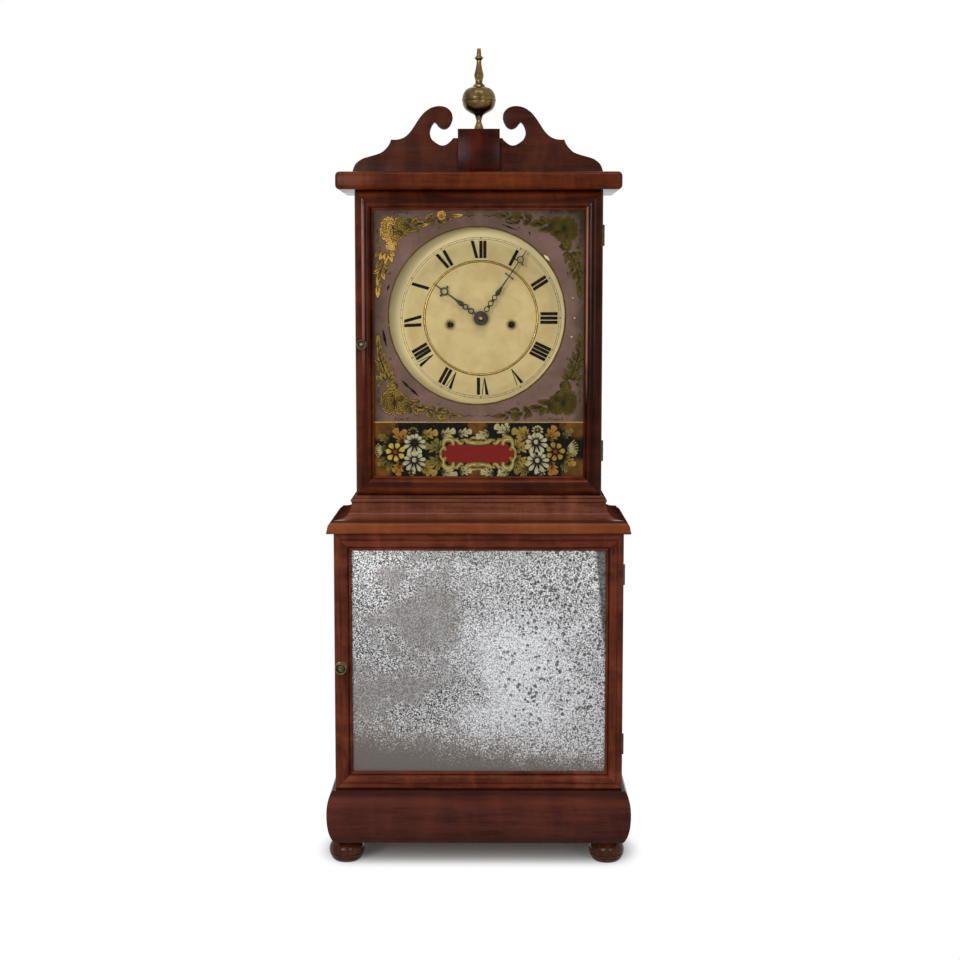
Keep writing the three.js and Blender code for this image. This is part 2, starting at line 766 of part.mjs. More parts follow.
// A mitred bar of a door frame: place(u, v, end) gives the corner at either end
function doorBars(outline, halfWidth, backFaceY, [z0, z1]) {
  const bar = (place) => {
    const rings = [-1, 1].map((end) => outline.map((p) => place(p.x, backFaceY - p.y, end)));
    return loft(rings, outline);
  };
  const along = (u, end, low, high) => (end < 0 ? low + u + mitreGap : high - u - mitreGap);
  const stile = (side) => bar((u, y, end) => (
    new THREE.Vector3(side * (halfWidth - u), y, along(u, end, z0, z1))));
  const rail = (edge, into) => bar((u, y, end) => (
    new THREE.Vector3(along(u, end, -halfWidth, halfWidth), y, edge + into * u)));
  return { left: stile(-1), right: stile(1), bottom: rail(z0, 1), top: rail(z1, -1) };
}

function spindleBore(x, [y0, y1], z) {
  const bore = turnedY(rod(spindleRadius + fit, [y0 - overrun, y1 + overrun]), smallSides);
  return bore.translate(x, 0, z);
}

// A turn knob in front of its stile and the catch behind it, about the spindle's axis
function knobGeometry(radius, reach, backFaceY) {
  const frontFace = backFaceY - doorThickness;
  const tip = frontFace - reach;
  const shares = [
    [0.3, 0], [0.42, 0.06], [0.46, 0.2], [0.62, 0.22], [0.82, 0.1], [1, 0.24], [0.96, 0.42],
    [0.6, 0.58], [0.42, 0.72], [0.5, 0.84], [0.92, 0.9], [0.94, 0.97],
  ];
  const head = shares.map(([r, y]) => [r * radius, tip + y * reach]);
  const camY = [backFaceY + doorGap + catchLip + fit, backFaceY + doorGap + catchLip + fit + camThickness];
  const turned = turnedY([[0, tip], ...head, [spindleRadius, frontFace - fit], [spindleRadius, camY[1]],
    [0, camY[1]]], roundSides);
  const cam = block([-camHalfWidth, camHalfWidth], camY, [-camHalfWidth, camLength]);
  return joined(turned, cam);
}

function hoodPane() {
  const x = hoodHalfWidth - hoodStile + rabbetWidth - fit;
  const inset = hoodStile - rabbetWidth + fit;
  const front = hoodDoorBackY - rabbetDepth + seat;
  return block([-x, x], [front, front + glassThickness], [hoodDoorZ[0] + inset, hoodDoorZ[1] - inset]);
}

function lowerPanel(front, thickness) {
  const x = caseHalfWidth - lowerStile + rabbetWidth - fit;
  const inset = lowerStile - rabbetWidth + fit;
  return block([-x, x], [front, front + thickness], [lowerDoorZ[0] + inset, lowerDoorZ[1] - inset]);
}

// Half of a butt hinge about its pin: side = 1 is the case leaf with the pin, -1 the door leaf
function hingeLeaf(side) {
  const half = hingeHeight / 2;
  const third = hingeHeight / 6;
  const near = doorGap / 2;
  const y = side > 0 ? [near, near + hingeLeafThickness] : [-near - hingeLeafThickness, -near];
  const root = -knuckleRadius - fit;
  const leaf = block([-hingeLeafWidth, root], y, [-half, half]);
  const ends = side > 0 ? [[-half, -third - fit], [third + fit, half]] : [[-third, third]];
  const bridges = ends.map((z) => block([root - hingeLeafThickness, 0], y, z));
  if (side > 0) {
    const barrels = ends.map((z) => turnedZ(rod(knuckleRadius, z), smallSides));
    const pin = turnedZ(rod(hingePinRadius, [-half, half]), smallSides);
    return joined(leaf, ...bridges, ...barrels, pin);
  }
  const bore = turnedZ(rod(hingePinRadius + fit, [-half, half]), smallSides);
  const barrel = turnedZ(rod(knuckleRadius, ends[0]), smallSides);
  return cut(joined(leaf, ...bridges, barrel), bore);
}

// The outline of a wheel with pointed teeth; a tooth is centred on the given angle
const addendumShare = 1;
const dedendumShare = 1.25;
const toothHalfShare = 0.27;

function wheelOutline(teeth, tipRadius, rootRadius, angle) {
  const step = 2 * Math.PI / teeth;
  const points = [];
  const put = (radius, a) => points.push(new THREE.Vector2(radius * Math.cos(a), radius * Math.sin(a)));
  for (let i = 0; i < teeth; i += 1) {
    const middle = angle + i * step;
    put(rootRadius, middle - toothHalfShare * step);
    put(tipRadius, middle);
    put(rootRadius, middle + toothHalfShare * step);
  }
  return new THREE.Shape(points);
}

// Windows between the spokes of a wheel
function addCrossings(shape, rootRadius, spokes = 4) {
  const outer = rootRadius - rimWidth;
  const step = 2 * Math.PI / spokes;
  for (let i = 0; i < spokes; i += 1) {
    const middle = (i + 1 / 2) * step;
    const outerHalf = step / 2 - spokeWidth / 2 / outer;
    const innerHalf = step / 2 - spokeWidth / 2 / hubRadius;
    const hole = new THREE.Path();
    hole.absarc(0, 0, outer, middle - outerHalf, middle + outerHalf, false);
    hole.absarc(0, 0, hubRadius, middle + innerHalf, middle - innerHalf, true);
    hole.closePath();
    shape.holes.push(hole);
  }
}

function toothedWheel(teeth, size, angle, y, crossed = false) {
  const pitchRadius = teeth * size / 2;
  const root = pitchRadius - dedendumShare * size;
  const shape = wheelOutline(teeth, pitchRadius + addendumShare * size, root, angle);
  if (crossed) addCrossings(shape, root);
  return prismY(shape, y, curveSteps);
}

// Angles of the lines between meshing centres, seen from the front
const rightGreatAngle = Math.atan2(-windingDrop, windingSpread);
const thirdAngle = Math.atan2(thirdRise, thirdAcross);
const escapeAngle = Math.atan2(escapeRise - thirdRise, -thirdAcross);
const halfTurn = Math.PI;

function gapAt(angle, teeth) {
  return angle + Math.PI / teeth;
}

function layer(start, thickness) {
  return [innerY + start, innerY + start + thickness];
}

const arborSpan = [innerY + pivotGap, backPlateY - pivotGap];

// A great wheel with its drum, arbor and winding square
function greatWheel(angle, wheelLayer, strikePins) {
  const drum = layer(drumStart, drumLength);
  const flange = [drum[0] - drumFlange, drum[0]];
  const pieces = [
    toothedWheel(greatTeeth, greatModule, angle, layer(wheelLayer, greatWheelThickness)),
    turnedY([
      [0, flange[0]], [drumRadius + drumFlange, flange[0]], [drumRadius + drumFlange, flange[1]],
      [drumRadius, drum[0]], [drumRadius, drum[1]], [drumRadius + drumFlange, drum[1]],
      [drumRadius + drumFlange, innerY + wheelLayer + greatWheelThickness / 2],
      [0, innerY + wheelLayer + greatWheelThickness / 2],
    ], roundSides),
    turnedY(rod(windingArborRadius, [movementY - plateThickness, arborSpan[1]]), smallSides),
    block([-windingSquare / 2, windingSquare / 2], [dialFaceY, movementY],
      [-windingSquare / 2, windingSquare / 2]),
  ];
  if (strikePins) {
    for (let i = 0; i < hammerPinCount; i += 1) {
      const a = (i + 1 / 2) * 2 * Math.PI / hammerPinCount;
      const y = innerY + wheelLayer;
      const pin = turnedY(rod(hammerPinRadius, [y - hammerPinLength, y + greatWheelThickness / 2]), 6);
      pieces.push(pin.translate(hammerPinCircle * Math.cos(a), 0, hammerPinCircle * Math.sin(a)));
    }
  }
  return joined(...pieces);
}

function centreArbor() {
  const pinion = layer(timeWheelLayer - pinionOverlap, greatWheelThickness + 2 * pinionOverlap);
  const tip = [dialFaceY - centreArborLift, arborSpan[1]];
  return joined(
    toothedWheel(centrePinionLeaves, greatModule, gapAt(rightGreatAngle, centrePinionLeaves), pinion),
    toothedWheel(centreTeeth, centreModule, thirdAngle, layer(centreWheelLayer, wheelThickness), true),
    turnedY(rod(arborRadius, tip), smallSides),
  );
}

function thirdWheel() {
  const pinion = layer(centreWheelLayer - pinionOverlap, wheelThickness + 2 * pinionOverlap);
  return joined(
    toothedWheel(thirdPinionLeaves, centreModule, gapAt(thirdAngle + halfTurn, thirdPinionLeaves), pinion),
    toothedWheel(thirdTeeth, thirdModule, escapeAngle, layer(thirdWheelLayer, wheelThickness), true),
    turnedY(rod(arborRadius / 2, arborSpan), smallSides),
  );
}

function escapeWheel() {
  const pinion = layer(thirdWheelLayer - pinionOverlap, wheelThickness + 2 * pinionOverlap);
  const rim = wheelOutline(escapeTeeth, escapeRadius, escapeRadius - escapeToothDepth, Math.PI / 2);
  addCrossings(rim, escapeRadius - escapeToothDepth + hingePinRadius);
  return joined(
    toothedWheel(escapePinionLeaves, thirdModule, gapAt(escapeAngle + halfTurn, escapePinionLeaves), pinion),
    prismY(rim, layer(escapeWheelLayer, wheelThickness)),
    turnedY(rod(arborRadius / 2, arborSpan), smallSides),
  );
}

// Anchor pallets with their arbor and the crutch behind the back plate
const palletShares = [[0.1, -0.1], [0.45, -0.28], [0.67, -0.6], [0.76, -0.55], [0.55, -0.14], [0.1, 0.12]];

function palletsGeometry() {
  const right = palletShares.map(([u, v]) => new THREE.Vector2(u * palletRise, v * palletRise));
  const left = right.map((p) => new THREE.Vector2(-p.x, p.y)).reverse();
  const anchor = new THREE.Shape([...right, ...left]);
  const crutchY = [backPlateRearY + crutchSetback, backPlateRearY + crutchSetback + crutchDepth];
  const prong = pendulumRodWidth / 2 + 2 * fit;
  const forkZ = [-crutchLength, -crutchLength + crutchWidth];
  const forkY = [crutchY[0], pendulumY + pendulumRodWidth / 2];
  return joined(
    prismY(anchor, layer(escapeWheelLayer + wheelThickness / 2 - palletThickness / 2, palletThickness)),
    turnedY(rod(arborRadius / 2, [arborSpan[0], crutchY[1]]), smallSides),
    block([-crutchWidth / 2, crutchWidth / 2], crutchY, [-crutchLength, crutchWidth / 2]),
    block([-prong - crutchWidth / 2, prong + crutchWidth / 2], crutchY, forkZ),
    block([prong, prong + crutchWidth / 2], forkY, forkZ),
    block([-prong - crutchWidth / 2, -prong], forkY, forkZ),
  );
}

// The pendulum about its point of suspension: spring block, rod, bob and rating nut
function pendulumGeometry() {
  const half = pendulumRodWidth / 2;
  const top = suspensionDrop - fit;
  const bob = [[0, -bobThickness / 2], [0.3, -0.5], [0.75, -0.36], [1, 0], [0.75, 0.36], [0.3, 0.5]];
  const profile = bob.slice(1).map(([r, y]) => [r * bobRadius, y * bobThickness]);
  const lens = turnedY([bob[0], ...profile, [0, bobThickness / 2]], footSides);
  const nut = turnedZ(rod(2 * pendulumRodWidth, [-pendulumRodWidth, 0]), smallSides);
  const bottom = -pendulumLength - bobRadius - ratingTail;
  return joined(
    block([-half, half], [-half, half], [bottom, -suspensionDrop]),
    block([-half / 2, half / 2], [-2 * half, 2 * half], [-2 * suspensionDrop, top]),
    block([-2 * half, 2 * half], [-2 * half, 2 * half], [-2 * suspensionDrop, -suspensionDrop]),
    lens.translate(0, 0, -pendulumLength),
    nut.translate(0, 0, -pendulumLength - bobRadius - pendulumRodWidth),
  );
}

// Clock plates in the movement's own frame, with the dial centre at its origin
function plateOutline(holes) {
  const shape = new THREE.Shape();
  shape.moveTo(-plateHalfWidth, plateBottom);
  shape.lineTo(plateHalfWidth, plateBottom);
  shape.lineTo(plateHalfWidth, plateRise);
  shape.lineTo(-plateHalfWidth, plateRise);
  for (const [x, z, radius] of holes) {
    const hole = new THREE.Path();
    hole.absarc(x, z, radius, 0, 2 * Math.PI, true);
    shape.holes.push(hole);
  }
  return shape;
}

const pillarPlaces = [
  [-pillarSpread, -lowerPillarDrop], [pillarSpread, -lowerPillarDrop],
  [-pillarSpread, upperPillarRise], [pillarSpread, upperPillarRise],
];

function frontPlate() {
  const holes = [
    [-windingSpread, -windingDrop, windingArborRadius + 2 * fit],
    [windingSpread, -windingDrop, windingArborRadius + 2 * fit],
    [0, 0, arborRadius + 2 * fit],
    ...pillarPlaces.map(([x, z]) => [x, z, pillarRadius / 2 + fit]),
  ];
  const stud = [movementY - motionGap - 3 * motionThickness, innerY - plateThickness / 2];
  return joined(
    prismY(plateOutline(holes), [movementY, innerY]),
    turnedY(rod(arborRadius / 2, stud), smallSides).translate(0, 0, -motionDrop),
  );
}

function backPlate() {
  const holes = [[0, palletArborRise, arborRadius / 2 + fit]];
  const pillars = pillarPlaces.map(([x, z]) => turnedY([
    [0, movementY], [pillarRadius / 2, movementY], [pillarRadius / 2, innerY + fit],
    [pillarRadius, innerY + fit], [pillarRadius, backPlateY + plateThickness / 2],
    [0, backPlateY + plateThickness / 2],
  ], smallSides).translate(x, 0, z));
  const cockZ = palletArborRise + suspensionDrop;
  const cock = block([-cockHalfWidth, cockHalfWidth],
    [backPlateRearY - plateThickness / 2, pendulumY + 2 * pendulumRodWidth], [cockZ, cockZ + cockThickness]);
  return joined(prismY(plateOutline(holes), [backPlateY, backPlateRearY]), ...pillars, cock);
}

// The painted iron dial with its four feet to the front plate
function dialGeometry() {
  const shape = new THREE.Shape();
  shape.moveTo(-dialHalfSize, -dialHalfSize);
  shape.lineTo(dialHalfSize, -dialHalfSize);
  shape.lineTo(dialHalfSize, dialHalfSize);
  shape.lineTo(-dialHalfSize, dialHalfSize);
  const holes = [
    [0, 0, dialHoleRadius], [-windingSpread, -windingDrop, windingHoleRadius],
    [windingSpread, -windingDrop, windingHoleRadius],
  ];
  for (const [x, z, radius] of holes) {
    const hole = new THREE.Path();
    hole.absarc(x, z, radius, 0, 2 * Math.PI, true);
    shape.holes.push(hole);
  }
  const feet = [-dialFootSpread, dialFootSpread].flatMap((x) => [-dialFootDrop, dialFootRise].map((z) => (
    turnedY(rod(dialFootRadius, [dialBackY - dialThickness / 2, movementY - seat]), 8).translate(x, 0, z))));
  return joined(prismY(shape, [dialFaceY, dialBackY], 4), ...feet);
}

// A pierced hand pointing up: hub, stem, ring and tip, turned to its place
function handGeometry(length, y, bore, turn) {
  const ringShare = 0.75;
  const ringRise = length * ringShare;
  const shape = new THREE.Shape();
  const half = handWidth / 2;
  shape.moveTo(half, handHubRadius * ringShare);
  shape.lineTo(half / 2, ringRise - handRingRadius);
  shape.lineTo(handRingRadius, ringRise);
  shape.lineTo(half / 2, ringRise + handRingRadius);
  shape.lineTo(0, length);
  shape.lineTo(-half / 2, ringRise + handRingRadius);
  shape.lineTo(-handRingRadius, ringRise);
  shape.lineTo(-half / 2, ringRise - handRingRadius);
  shape.lineTo(-half, handHubRadius * ringShare);
  const eye = new THREE.Path();
  eye.absarc(0, ringRise, handRingRadius / 2, 0, 2 * Math.PI, true);
  shape.holes.push(eye);
  const span = [y, y + handThickness];
  const hub = turnedY(tube(bore, handHubRadius, span), roundSides);
  return joined(prismY(shape, span, 3), hub).rotateY(turn);
}

const motionLayer = [movementY - motionGap - motionThickness, movementY - motionGap];
const hourWheelLayer = [motionLayer[0] - 2 * motionThickness, motionLayer[0] - motionThickness];

function minuteHand() {
  const y = dialFaceY - minuteHandLift - handThickness;
  const bore = arborRadius + fit;
  const pipe = turnedY(tube(bore, cannonPipeRadius, [y, motionLayer[1]]), smallSides);
  const wheel = toothedWheel(cannonTeeth, cannonModule, -Math.PI / 2, motionLayer);
  const bored = cut(wheel, turnedY(rod(bore, [y, innerY]), smallSides));
  return joined(handGeometry(minuteHandLength, y, bore, minuteHandTurn), pipe, bored);
}

function hourHand() {
  const y = dialFaceY - hourHandLift - handThickness;
  const bore = cannonPipeRadius + fit;
  const pipe = turnedY(tube(bore, hourPipeRadius, [y, hourWheelLayer[1]]), smallSides);
  const wheel = toothedWheel(hourTeeth, hourModule, gapAt(-Math.PI / 2, hourTeeth), hourWheelLayer);
  const bored = cut(wheel, turnedY(rod(bore, [y, innerY]), smallSides));
  return joined(handGeometry(hourHandLength, y, bore, hourHandTurn), pipe, bored);
}

function minuteWheel() {
  const pinion = [hourWheelLayer[0], motionLayer[0] + motionThickness / 2];
  const wheel = joined(
    toothedWheel(minuteTeeth, cannonModule, gapAt(Math.PI / 2, minuteTeeth), motionLayer),
    toothedWheel(minutePinionLeaves, hourModule, Math.PI / 2, pinion),
  );
  return cut(wheel, turnedY(rod(arborRadius / 2 + fit, [pinion[0] - overrun, innerY]), smallSides));
}

// The hammer about its arbor: arm, head beside the bell and a short tail
function hammerGeometry() {
  const y = layer(hammerLayer, hammerArmThickness);
  const half = hammerArmWidth / 2;
  const headX = hammerAcross - bellAcross - bellRadius - bellHeadClearance;
  const headZ = hammerHeadRise - hammerRise;
  const tailShare = 0.06;
  const armX = headX - hammerHeadLength / 2;
  const arm = new THREE.Shape();
  arm.moveTo(-half, 0);
  arm.lineTo(half, 0);
  arm.lineTo(armX + half, headZ);
  arm.lineTo(armX - half, headZ);
  const tail = new THREE.Shape();
  const tailX = hammerTailLength * tailShare;
  tail.moveTo(-half, 0);
  tail.lineTo(tailX - half, -hammerTailLength);
  tail.lineTo(tailX + half, -hammerTailLength);
  tail.lineTo(half, 0);
  const head = turnedX(rod(hammerHeadRadius, [headX - hammerHeadLength, headX]), smallSides);
  return joined(
    turnedY(rod(arborRadius, arborSpan), smallSides),
    prismY(arm, y),
    prismY(tail, y),
    head.translate(0, (y[0] + y[1]) / 2, headZ),
  );
}

// The bell and the post that carries it from the top of the back plate
function bellGeometry() {
  const post = bellPostRadius;
  const rim = bellRise - plateRise;
  const crown = rim + bellHeight;
  return turnedZ([
    [0, fit], [2 * post, fit], [2 * post, bellWall], [post, bellWall], [post, crown - bellWall],
    [bellRadius * 0.5, crown - 1.4 * bellWall], [bellRadius * 0.82, crown - 3.2 * bellWall],
    [bellRadius - 1.3 * bellWall, rim + bellHeight * 0.3], [bellRadius - bellWall, rim],
    [bellRadius, rim], [bellRadius - 0.4 * bellWall, rim + bellHeight * 0.3],
    [bellRadius * 0.86, crown - 2.2 * bellWall], [bellRadius * 0.5, crown - 0.4 * bellWall],
    [2 * post, crown], [2 * post, crown + bellWall], [0, crown + bellWall],
  ], footSides);
}

function seatBoardGeometry() {
  const x = hoodInnerHalfWidth - fit;
  const y = [movementY, pendulumY - pendulumRodWidth / 2 - seatBoardClearance];
  const holes = [-1, 1].flatMap((side) => [lineNearY, lineFarY].map((holeY) => {
    const hole = turnedZ(rod(lineHoleRadius, [seatBoardTop - 2 * seatBoardThickness, seatBoardTop + overrun]), 8);
    return hole.translate(dialOffset + side * lineAcross, holeY, 0);
  }));
  return cut(block([-x, x], y, [seatBoardTop - seatBoardThickness, seatBoardTop]), ...holes);
}

// A cast weight hung by straps from its pulley; the origin is the pulley's centre
function weightGeometry() {
  const top = -pulleyRadius - pulleyFlange - weightNeck;
  const bottom = top - weightHeight;
  const edge = weightNeck / 2;
  const body = turnedZ([
    [0, bottom], [weightRadius - edge, bottom], [weightRadius, bottom + edge],
    [weightRadius, top - edge], [weightRadius - edge, top], [0, top],
  ], footSides);
  const half = pulleyThickness / 2;
  const rim = pulleyRadius + pulleyFlange;
  const pulley = turnedX([
    [0, -half], [rim, -half], [rim, -half + strapThickness], [pulleyGroove, -lineRadius - fit],
    [pulleyGroove, lineRadius + fit], [rim, half - strapThickness], [rim, half], [0, half],
  ], roundSides);
  const strap = (side) => {
    const x = side > 0 ? [half, half + strapThickness] : [-half - strapThickness, -half];
    return block(x, [-strapHalfWidth, strapHalfWidth], [top - edge, strapTop]);
  };
  return joined(body, pulley, strap(1), strap(-1));
}

// The line from the drum down round the pulley and up to its hook on the back plate
function lineGeometry() {
  const x = dialOffset;
  const topZ = dialHeight + lineTopRise;
  const path = new THREE.CurvePath();
  const near = (z) => new THREE.Vector3(0, lineNearY, z);
  const far = (z) => new THREE.Vector3(0, lineFarY, z);
  const control = pulleyHeight - pulleyRadius * 4 / 3;
  path.add(new THREE.LineCurve3(near(topZ), near(pulleyHeight)));
  path.add(new THREE.CubicBezierCurve3(near(pulleyHeight), near(control), far(control), far(pulleyHeight)));
  path.add(new THREE.LineCurve3(far(pulleyHeight), far(topZ)));
  const section = new THREE.Shape();
  for (let i = 0; i < lineSides; i += 1) {
    const a = i * 2 * Math.PI / lineSides;
    const [u, v] = [lineRadius * Math.cos(a), lineRadius * Math.sin(a)];
    if (i === 0) section.moveTo(u, v);
    else section.lineTo(u, v);
  }
  return new THREE.ExtrudeGeometry(section, { steps: lineSteps, extrudePath: path }).translate(x, 0, 0);
}

// Puts named pieces into the model
const group = new THREE.Group();
const movement = new THREE.Group();
movement.position.set(dialOffset, 0, dialHeight);
group.add(movement);

function add(name, geometry, finish, place = [0, 0, 0], parent = group) {
  const mesh = new THREE.Mesh(closed(geometry), new THREE.MeshStandardMaterial(finishes[finish]));
  mesh.name = name;
  mesh.position.set(...place);
  parent.add(mesh);
}

function addFeet() {
  const x = caseHalfWidth - footInset;
  const rows = { front: lowerDoorFrontY + frontFootSetback + footRadius, rear: backY - rearFootSetback };
  for (const [row, y] of Object.entries(rows)) {
    add(`foot_${row}_left`, footGeometry(), 'mahogany', [footOffset - x, y, 0]);
    add(`foot_${row}_right`, footGeometry(), 'mahogany', [footOffset + x, y, 0]);
  }
}

function addCase() {
  add('base_moulding', baseGeometry(), 'mahogany');
  add('bottom_board', bottomBoardGeometry(), 'pine');
  add('lower_side_left', lowerSideLeft(), 'mahogany');
  add('lower_side_right', lowerSideRight(), 'mahogany');
  add('back_board', backBoardGeometry(), 'pine');
  add('waist_board', waistBoardGeometry(), 'pine');
  add('waist_moulding_front', waistFrontGeometry(), 'flame');
  add('waist_moulding_left', waistSideGeometry(-1), 'flame');
  add('waist_moulding_right', waistSideGeometry(1), 'flame');
  add('hood_side_left', hoodSideLeft(), 'mahogany');
  add('hood_side_right', hoodSideRight(), 'mahogany');
  add('cornice', corniceGeometry(), 'mahogany');
  add('crest', crestGeometry(), 'crestWood');
  add('finial_plinth', plinthGeometry(), 'crestWood');
  const finialPlace = [0, plinthFrontY + plinthDepth / 2, plinthTopZ + seat];
  add('finial', finialGeometry(), 'brass', finialPlace);
}

function addDoor(name, outline, halfWidth, backFaceY, z, hinges, axis, knobZ) {
  const bars = doorBars(outline, halfWidth, backFaceY, z);
  const mortises = hinges.flatMap((h) => hingeMortise(axis[0], axis[1], h, -1));
  const bore = spindleBore(-halfWidth + knobInset, [backFaceY - doorThickness, backFaceY], knobZ);
  add(`${name}_stile_left`, cut(bars.left, bore), 'mahogany');
  add(`${name}_stile_right`, cut(bars.right, ...mortises), 'mahogany');
  add(`${name}_rail_top`, bars.top, 'mahogany');
  add(`${name}_rail_bottom`, bars.bottom, 'mahogany');
}

function addHinges(name, hinges, axis) {
  hinges.forEach((z, i) => {
    const where = i === 0 ? 'lower' : 'upper';
    add(`${name}_hinge_${where}_case_leaf`, hingeLeaf(1), 'brass', [axis[0], axis[1], z]);
    add(`${name}_hinge_${where}_door_leaf`, hingeLeaf(-1), 'brass', [axis[0], axis[1], z]);
  });
}

function addDoors() {
  const hoodAxis = [hoodHingeX, hoodHingeY];
  const lowerAxis = [lowerHingeX, lowerHingeY];
  addDoor('hood_door', hoodBarOutline(), hoodHalfWidth, hoodDoorBackY, hoodDoorZ, hoodHinges, hoodAxis, hoodKnobZ);
  add('hood_door_glass', hoodPane(), 'glass');
  add('hood_door_knob', knobGeometry(hoodKnobRadius, hoodKnobReach, hoodDoorBackY), 'brass',
    [-hoodHalfWidth + knobInset, 0, hoodKnobZ]);
  addHinges('hood', hoodHinges, hoodAxis);
  addDoor('lower_door', lowerBarOutline(), caseHalfWidth, lowerDoorBackY, lowerDoorZ, lowerHinges, lowerAxis,
    lowerKnobZ);
  const mirrorFront = lowerDoorBackY - rabbetDepth + seat;
  add('lower_door_mirror', lowerPanel(mirrorFront, mirrorThickness), 'mirror');
  add('lower_door_mirror_board', lowerPanel(mirrorFront + mirrorThickness + seat, mirrorBoardThickness), 'pine');
  add('lower_door_knob', knobGeometry(lowerKnobRadius, lowerKnobReach, lowerDoorBackY), 'brass',
    [-caseHalfWidth + knobInset, 0, lowerKnobZ]);
  addHinges('lower', lowerHinges, lowerAxis);
}

function addMovement() {
  const put = (name, geometry, finish, x = 0, y = 0, z = 0) => add(name, geometry, finish, [x, y, z], movement);
  add('seat_board', seatBoardGeometry(), 'pine');
  put('movement_front_plate', frontPlate(), 'brass');
  put('movement_back_plate', backPlate(), 'brass');
  put('dial_plate', dialGeometry(), 'dialPaint');
  put('time_great_wheel', greatWheel(rightGreatAngle + halfTurn, timeWheelLayer, false), 'brass',
    windingSpread, 0, -windingDrop);
  put('strike_great_wheel', greatWheel(0, strikeWheelLayer, true), 'brass', -windingSpread, 0, -windingDrop);
  put('centre_wheel', centreArbor(), 'brass');
  put('third_wheel', thirdWheel(), 'brass', thirdAcross, 0, thirdRise);
  put('escape_wheel', escapeWheel(), 'brass', 0, 0, escapeRise);
  put('pallets', palletsGeometry(), 'steel', 0, 0, palletArborRise);
  put('pendulum', pendulumGeometry(), 'brass', 0, pendulumY, palletArborRise);
  put('minute_hand', minuteHand(), 'blackHand');
  put('hour_hand', hourHand(), 'blackHand');
  put('minute_wheel', minuteWheel(), 'brass', 0, 0, -motionDrop);
  put('hammer', hammerGeometry(), 'steel', -hammerAcross, 0, hammerRise);
  put('bell', bellGeometry(), 'steel', -bellAcross, backPlateY + plateThickness / 2, plateRise);
}

function addWeights() {
  const y = (lineNearY + lineFarY) / 2;
  for (const [name, side] of [['time', 1], ['strike', -1]]) {
    const x = side * lineAcross;
    add(`${name}_weight`, weightGeometry(), 'iron', [dialOffset + x, y, pulleyHeight]);
    add(`${name}_line`, lineGeometry(), 'gut', [x, 0, 0]);
  }
}

addFeet();
addCase();
addDoors();
addMovement();
addWeights();

export default group;
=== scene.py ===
"""Looks of the shelf clock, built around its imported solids.

Sizes here are millimetres until a mesh is made. The front faces -Y and +Z is up.
"""

import json
import math

import bmesh
import bpy
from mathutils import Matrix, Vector
from mathutils.geometry import tessellate_polygon


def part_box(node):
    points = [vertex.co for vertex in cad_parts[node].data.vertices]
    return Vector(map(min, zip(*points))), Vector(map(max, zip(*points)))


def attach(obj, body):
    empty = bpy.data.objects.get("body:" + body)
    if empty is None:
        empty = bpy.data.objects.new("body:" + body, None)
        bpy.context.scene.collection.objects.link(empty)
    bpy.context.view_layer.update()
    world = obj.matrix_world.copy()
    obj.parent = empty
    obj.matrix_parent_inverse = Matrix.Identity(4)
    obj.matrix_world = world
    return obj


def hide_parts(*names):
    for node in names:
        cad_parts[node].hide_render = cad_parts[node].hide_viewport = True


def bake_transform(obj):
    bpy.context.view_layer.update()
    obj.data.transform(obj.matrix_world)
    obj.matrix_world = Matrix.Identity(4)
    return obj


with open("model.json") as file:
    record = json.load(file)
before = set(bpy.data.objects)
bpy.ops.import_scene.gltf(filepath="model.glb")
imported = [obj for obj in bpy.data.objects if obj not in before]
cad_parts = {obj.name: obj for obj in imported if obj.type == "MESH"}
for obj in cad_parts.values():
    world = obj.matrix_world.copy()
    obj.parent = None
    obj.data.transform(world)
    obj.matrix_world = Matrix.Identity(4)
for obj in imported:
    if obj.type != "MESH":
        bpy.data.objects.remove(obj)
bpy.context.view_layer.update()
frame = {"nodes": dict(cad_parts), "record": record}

MM = 0.001
TURN = 2 * math.pi
X, Y, Z = range(3)
LOW, HIGH = range(2)


# Sizes taken from the solids


def reach(node, axis, end):
    """How far a solid reaches along an axis, at its low or its high end, in millimetres."""
    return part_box(node)[end][axis] / MM


def centre_of(node, axis):
    return (reach(node, axis, LOW) + reach(node, axis, HIGH)) / 2


HOOD_HALF = reach("hood_door_stile_right", X, HIGH)
HOOD_BACK = reach("hood_door_rail_top", Y, HIGH)
HOOD_Z = (reach("hood_door_rail_bottom", Z, LOW), reach("hood_door_rail_top", Z, HIGH))
LOWER_HALF = reach("lower_door_stile_right", X, HIGH)
LOWER_BACK = reach("lower_door_rail_top", Y, HIGH)
LOWER_Z = (reach("lower_door_rail_bottom", Z, LOW), reach("lower_door_rail_top", Z, HIGH))
WAIST_X = reach("waist_moulding_right", X, HIGH)
WAIST_INNER = reach("waist_moulding_right", X, LOW)
WAIST_Y = reach("waist_moulding_front", Y, LOW)
WAIST_REAR = reach("waist_moulding_front", Y, HIGH)
WAIST_Z = reach("waist_moulding_front", Z, LOW)
BASE_X = reach("base_moulding", X, HIGH)
BASE_Y = reach("base_moulding", Y, LOW)
BASE_Z = reach("base_moulding", Z, LOW)
REAR = reach("base_moulding", Y, HIGH)
DIAL_X, DIAL_Z = centre_of("dial_plate", X), centre_of("dial_plate", Z)
DIAL_FACE = reach("dial_plate", Y, LOW)
HOUR_FACE = reach("hour_hand", Y, LOW)
MINUTE_FACE = reach("minute_hand", Y, LOW)
GLASS_FRONT, GLASS_BACK = reach("hood_door_glass", Y, LOW), reach("hood_door_glass", Y, HIGH)
GLASS_HALF = reach("hood_door_glass", X, HIGH)
GLASS_Z = (reach("hood_door_glass", Z, LOW), reach("hood_door_glass", Z, HIGH))
# The winding holes, from the middle of the dial
WINDING_X, WINDING_DROP = 36.5, 7.9


# Camera, floor and light, in metres

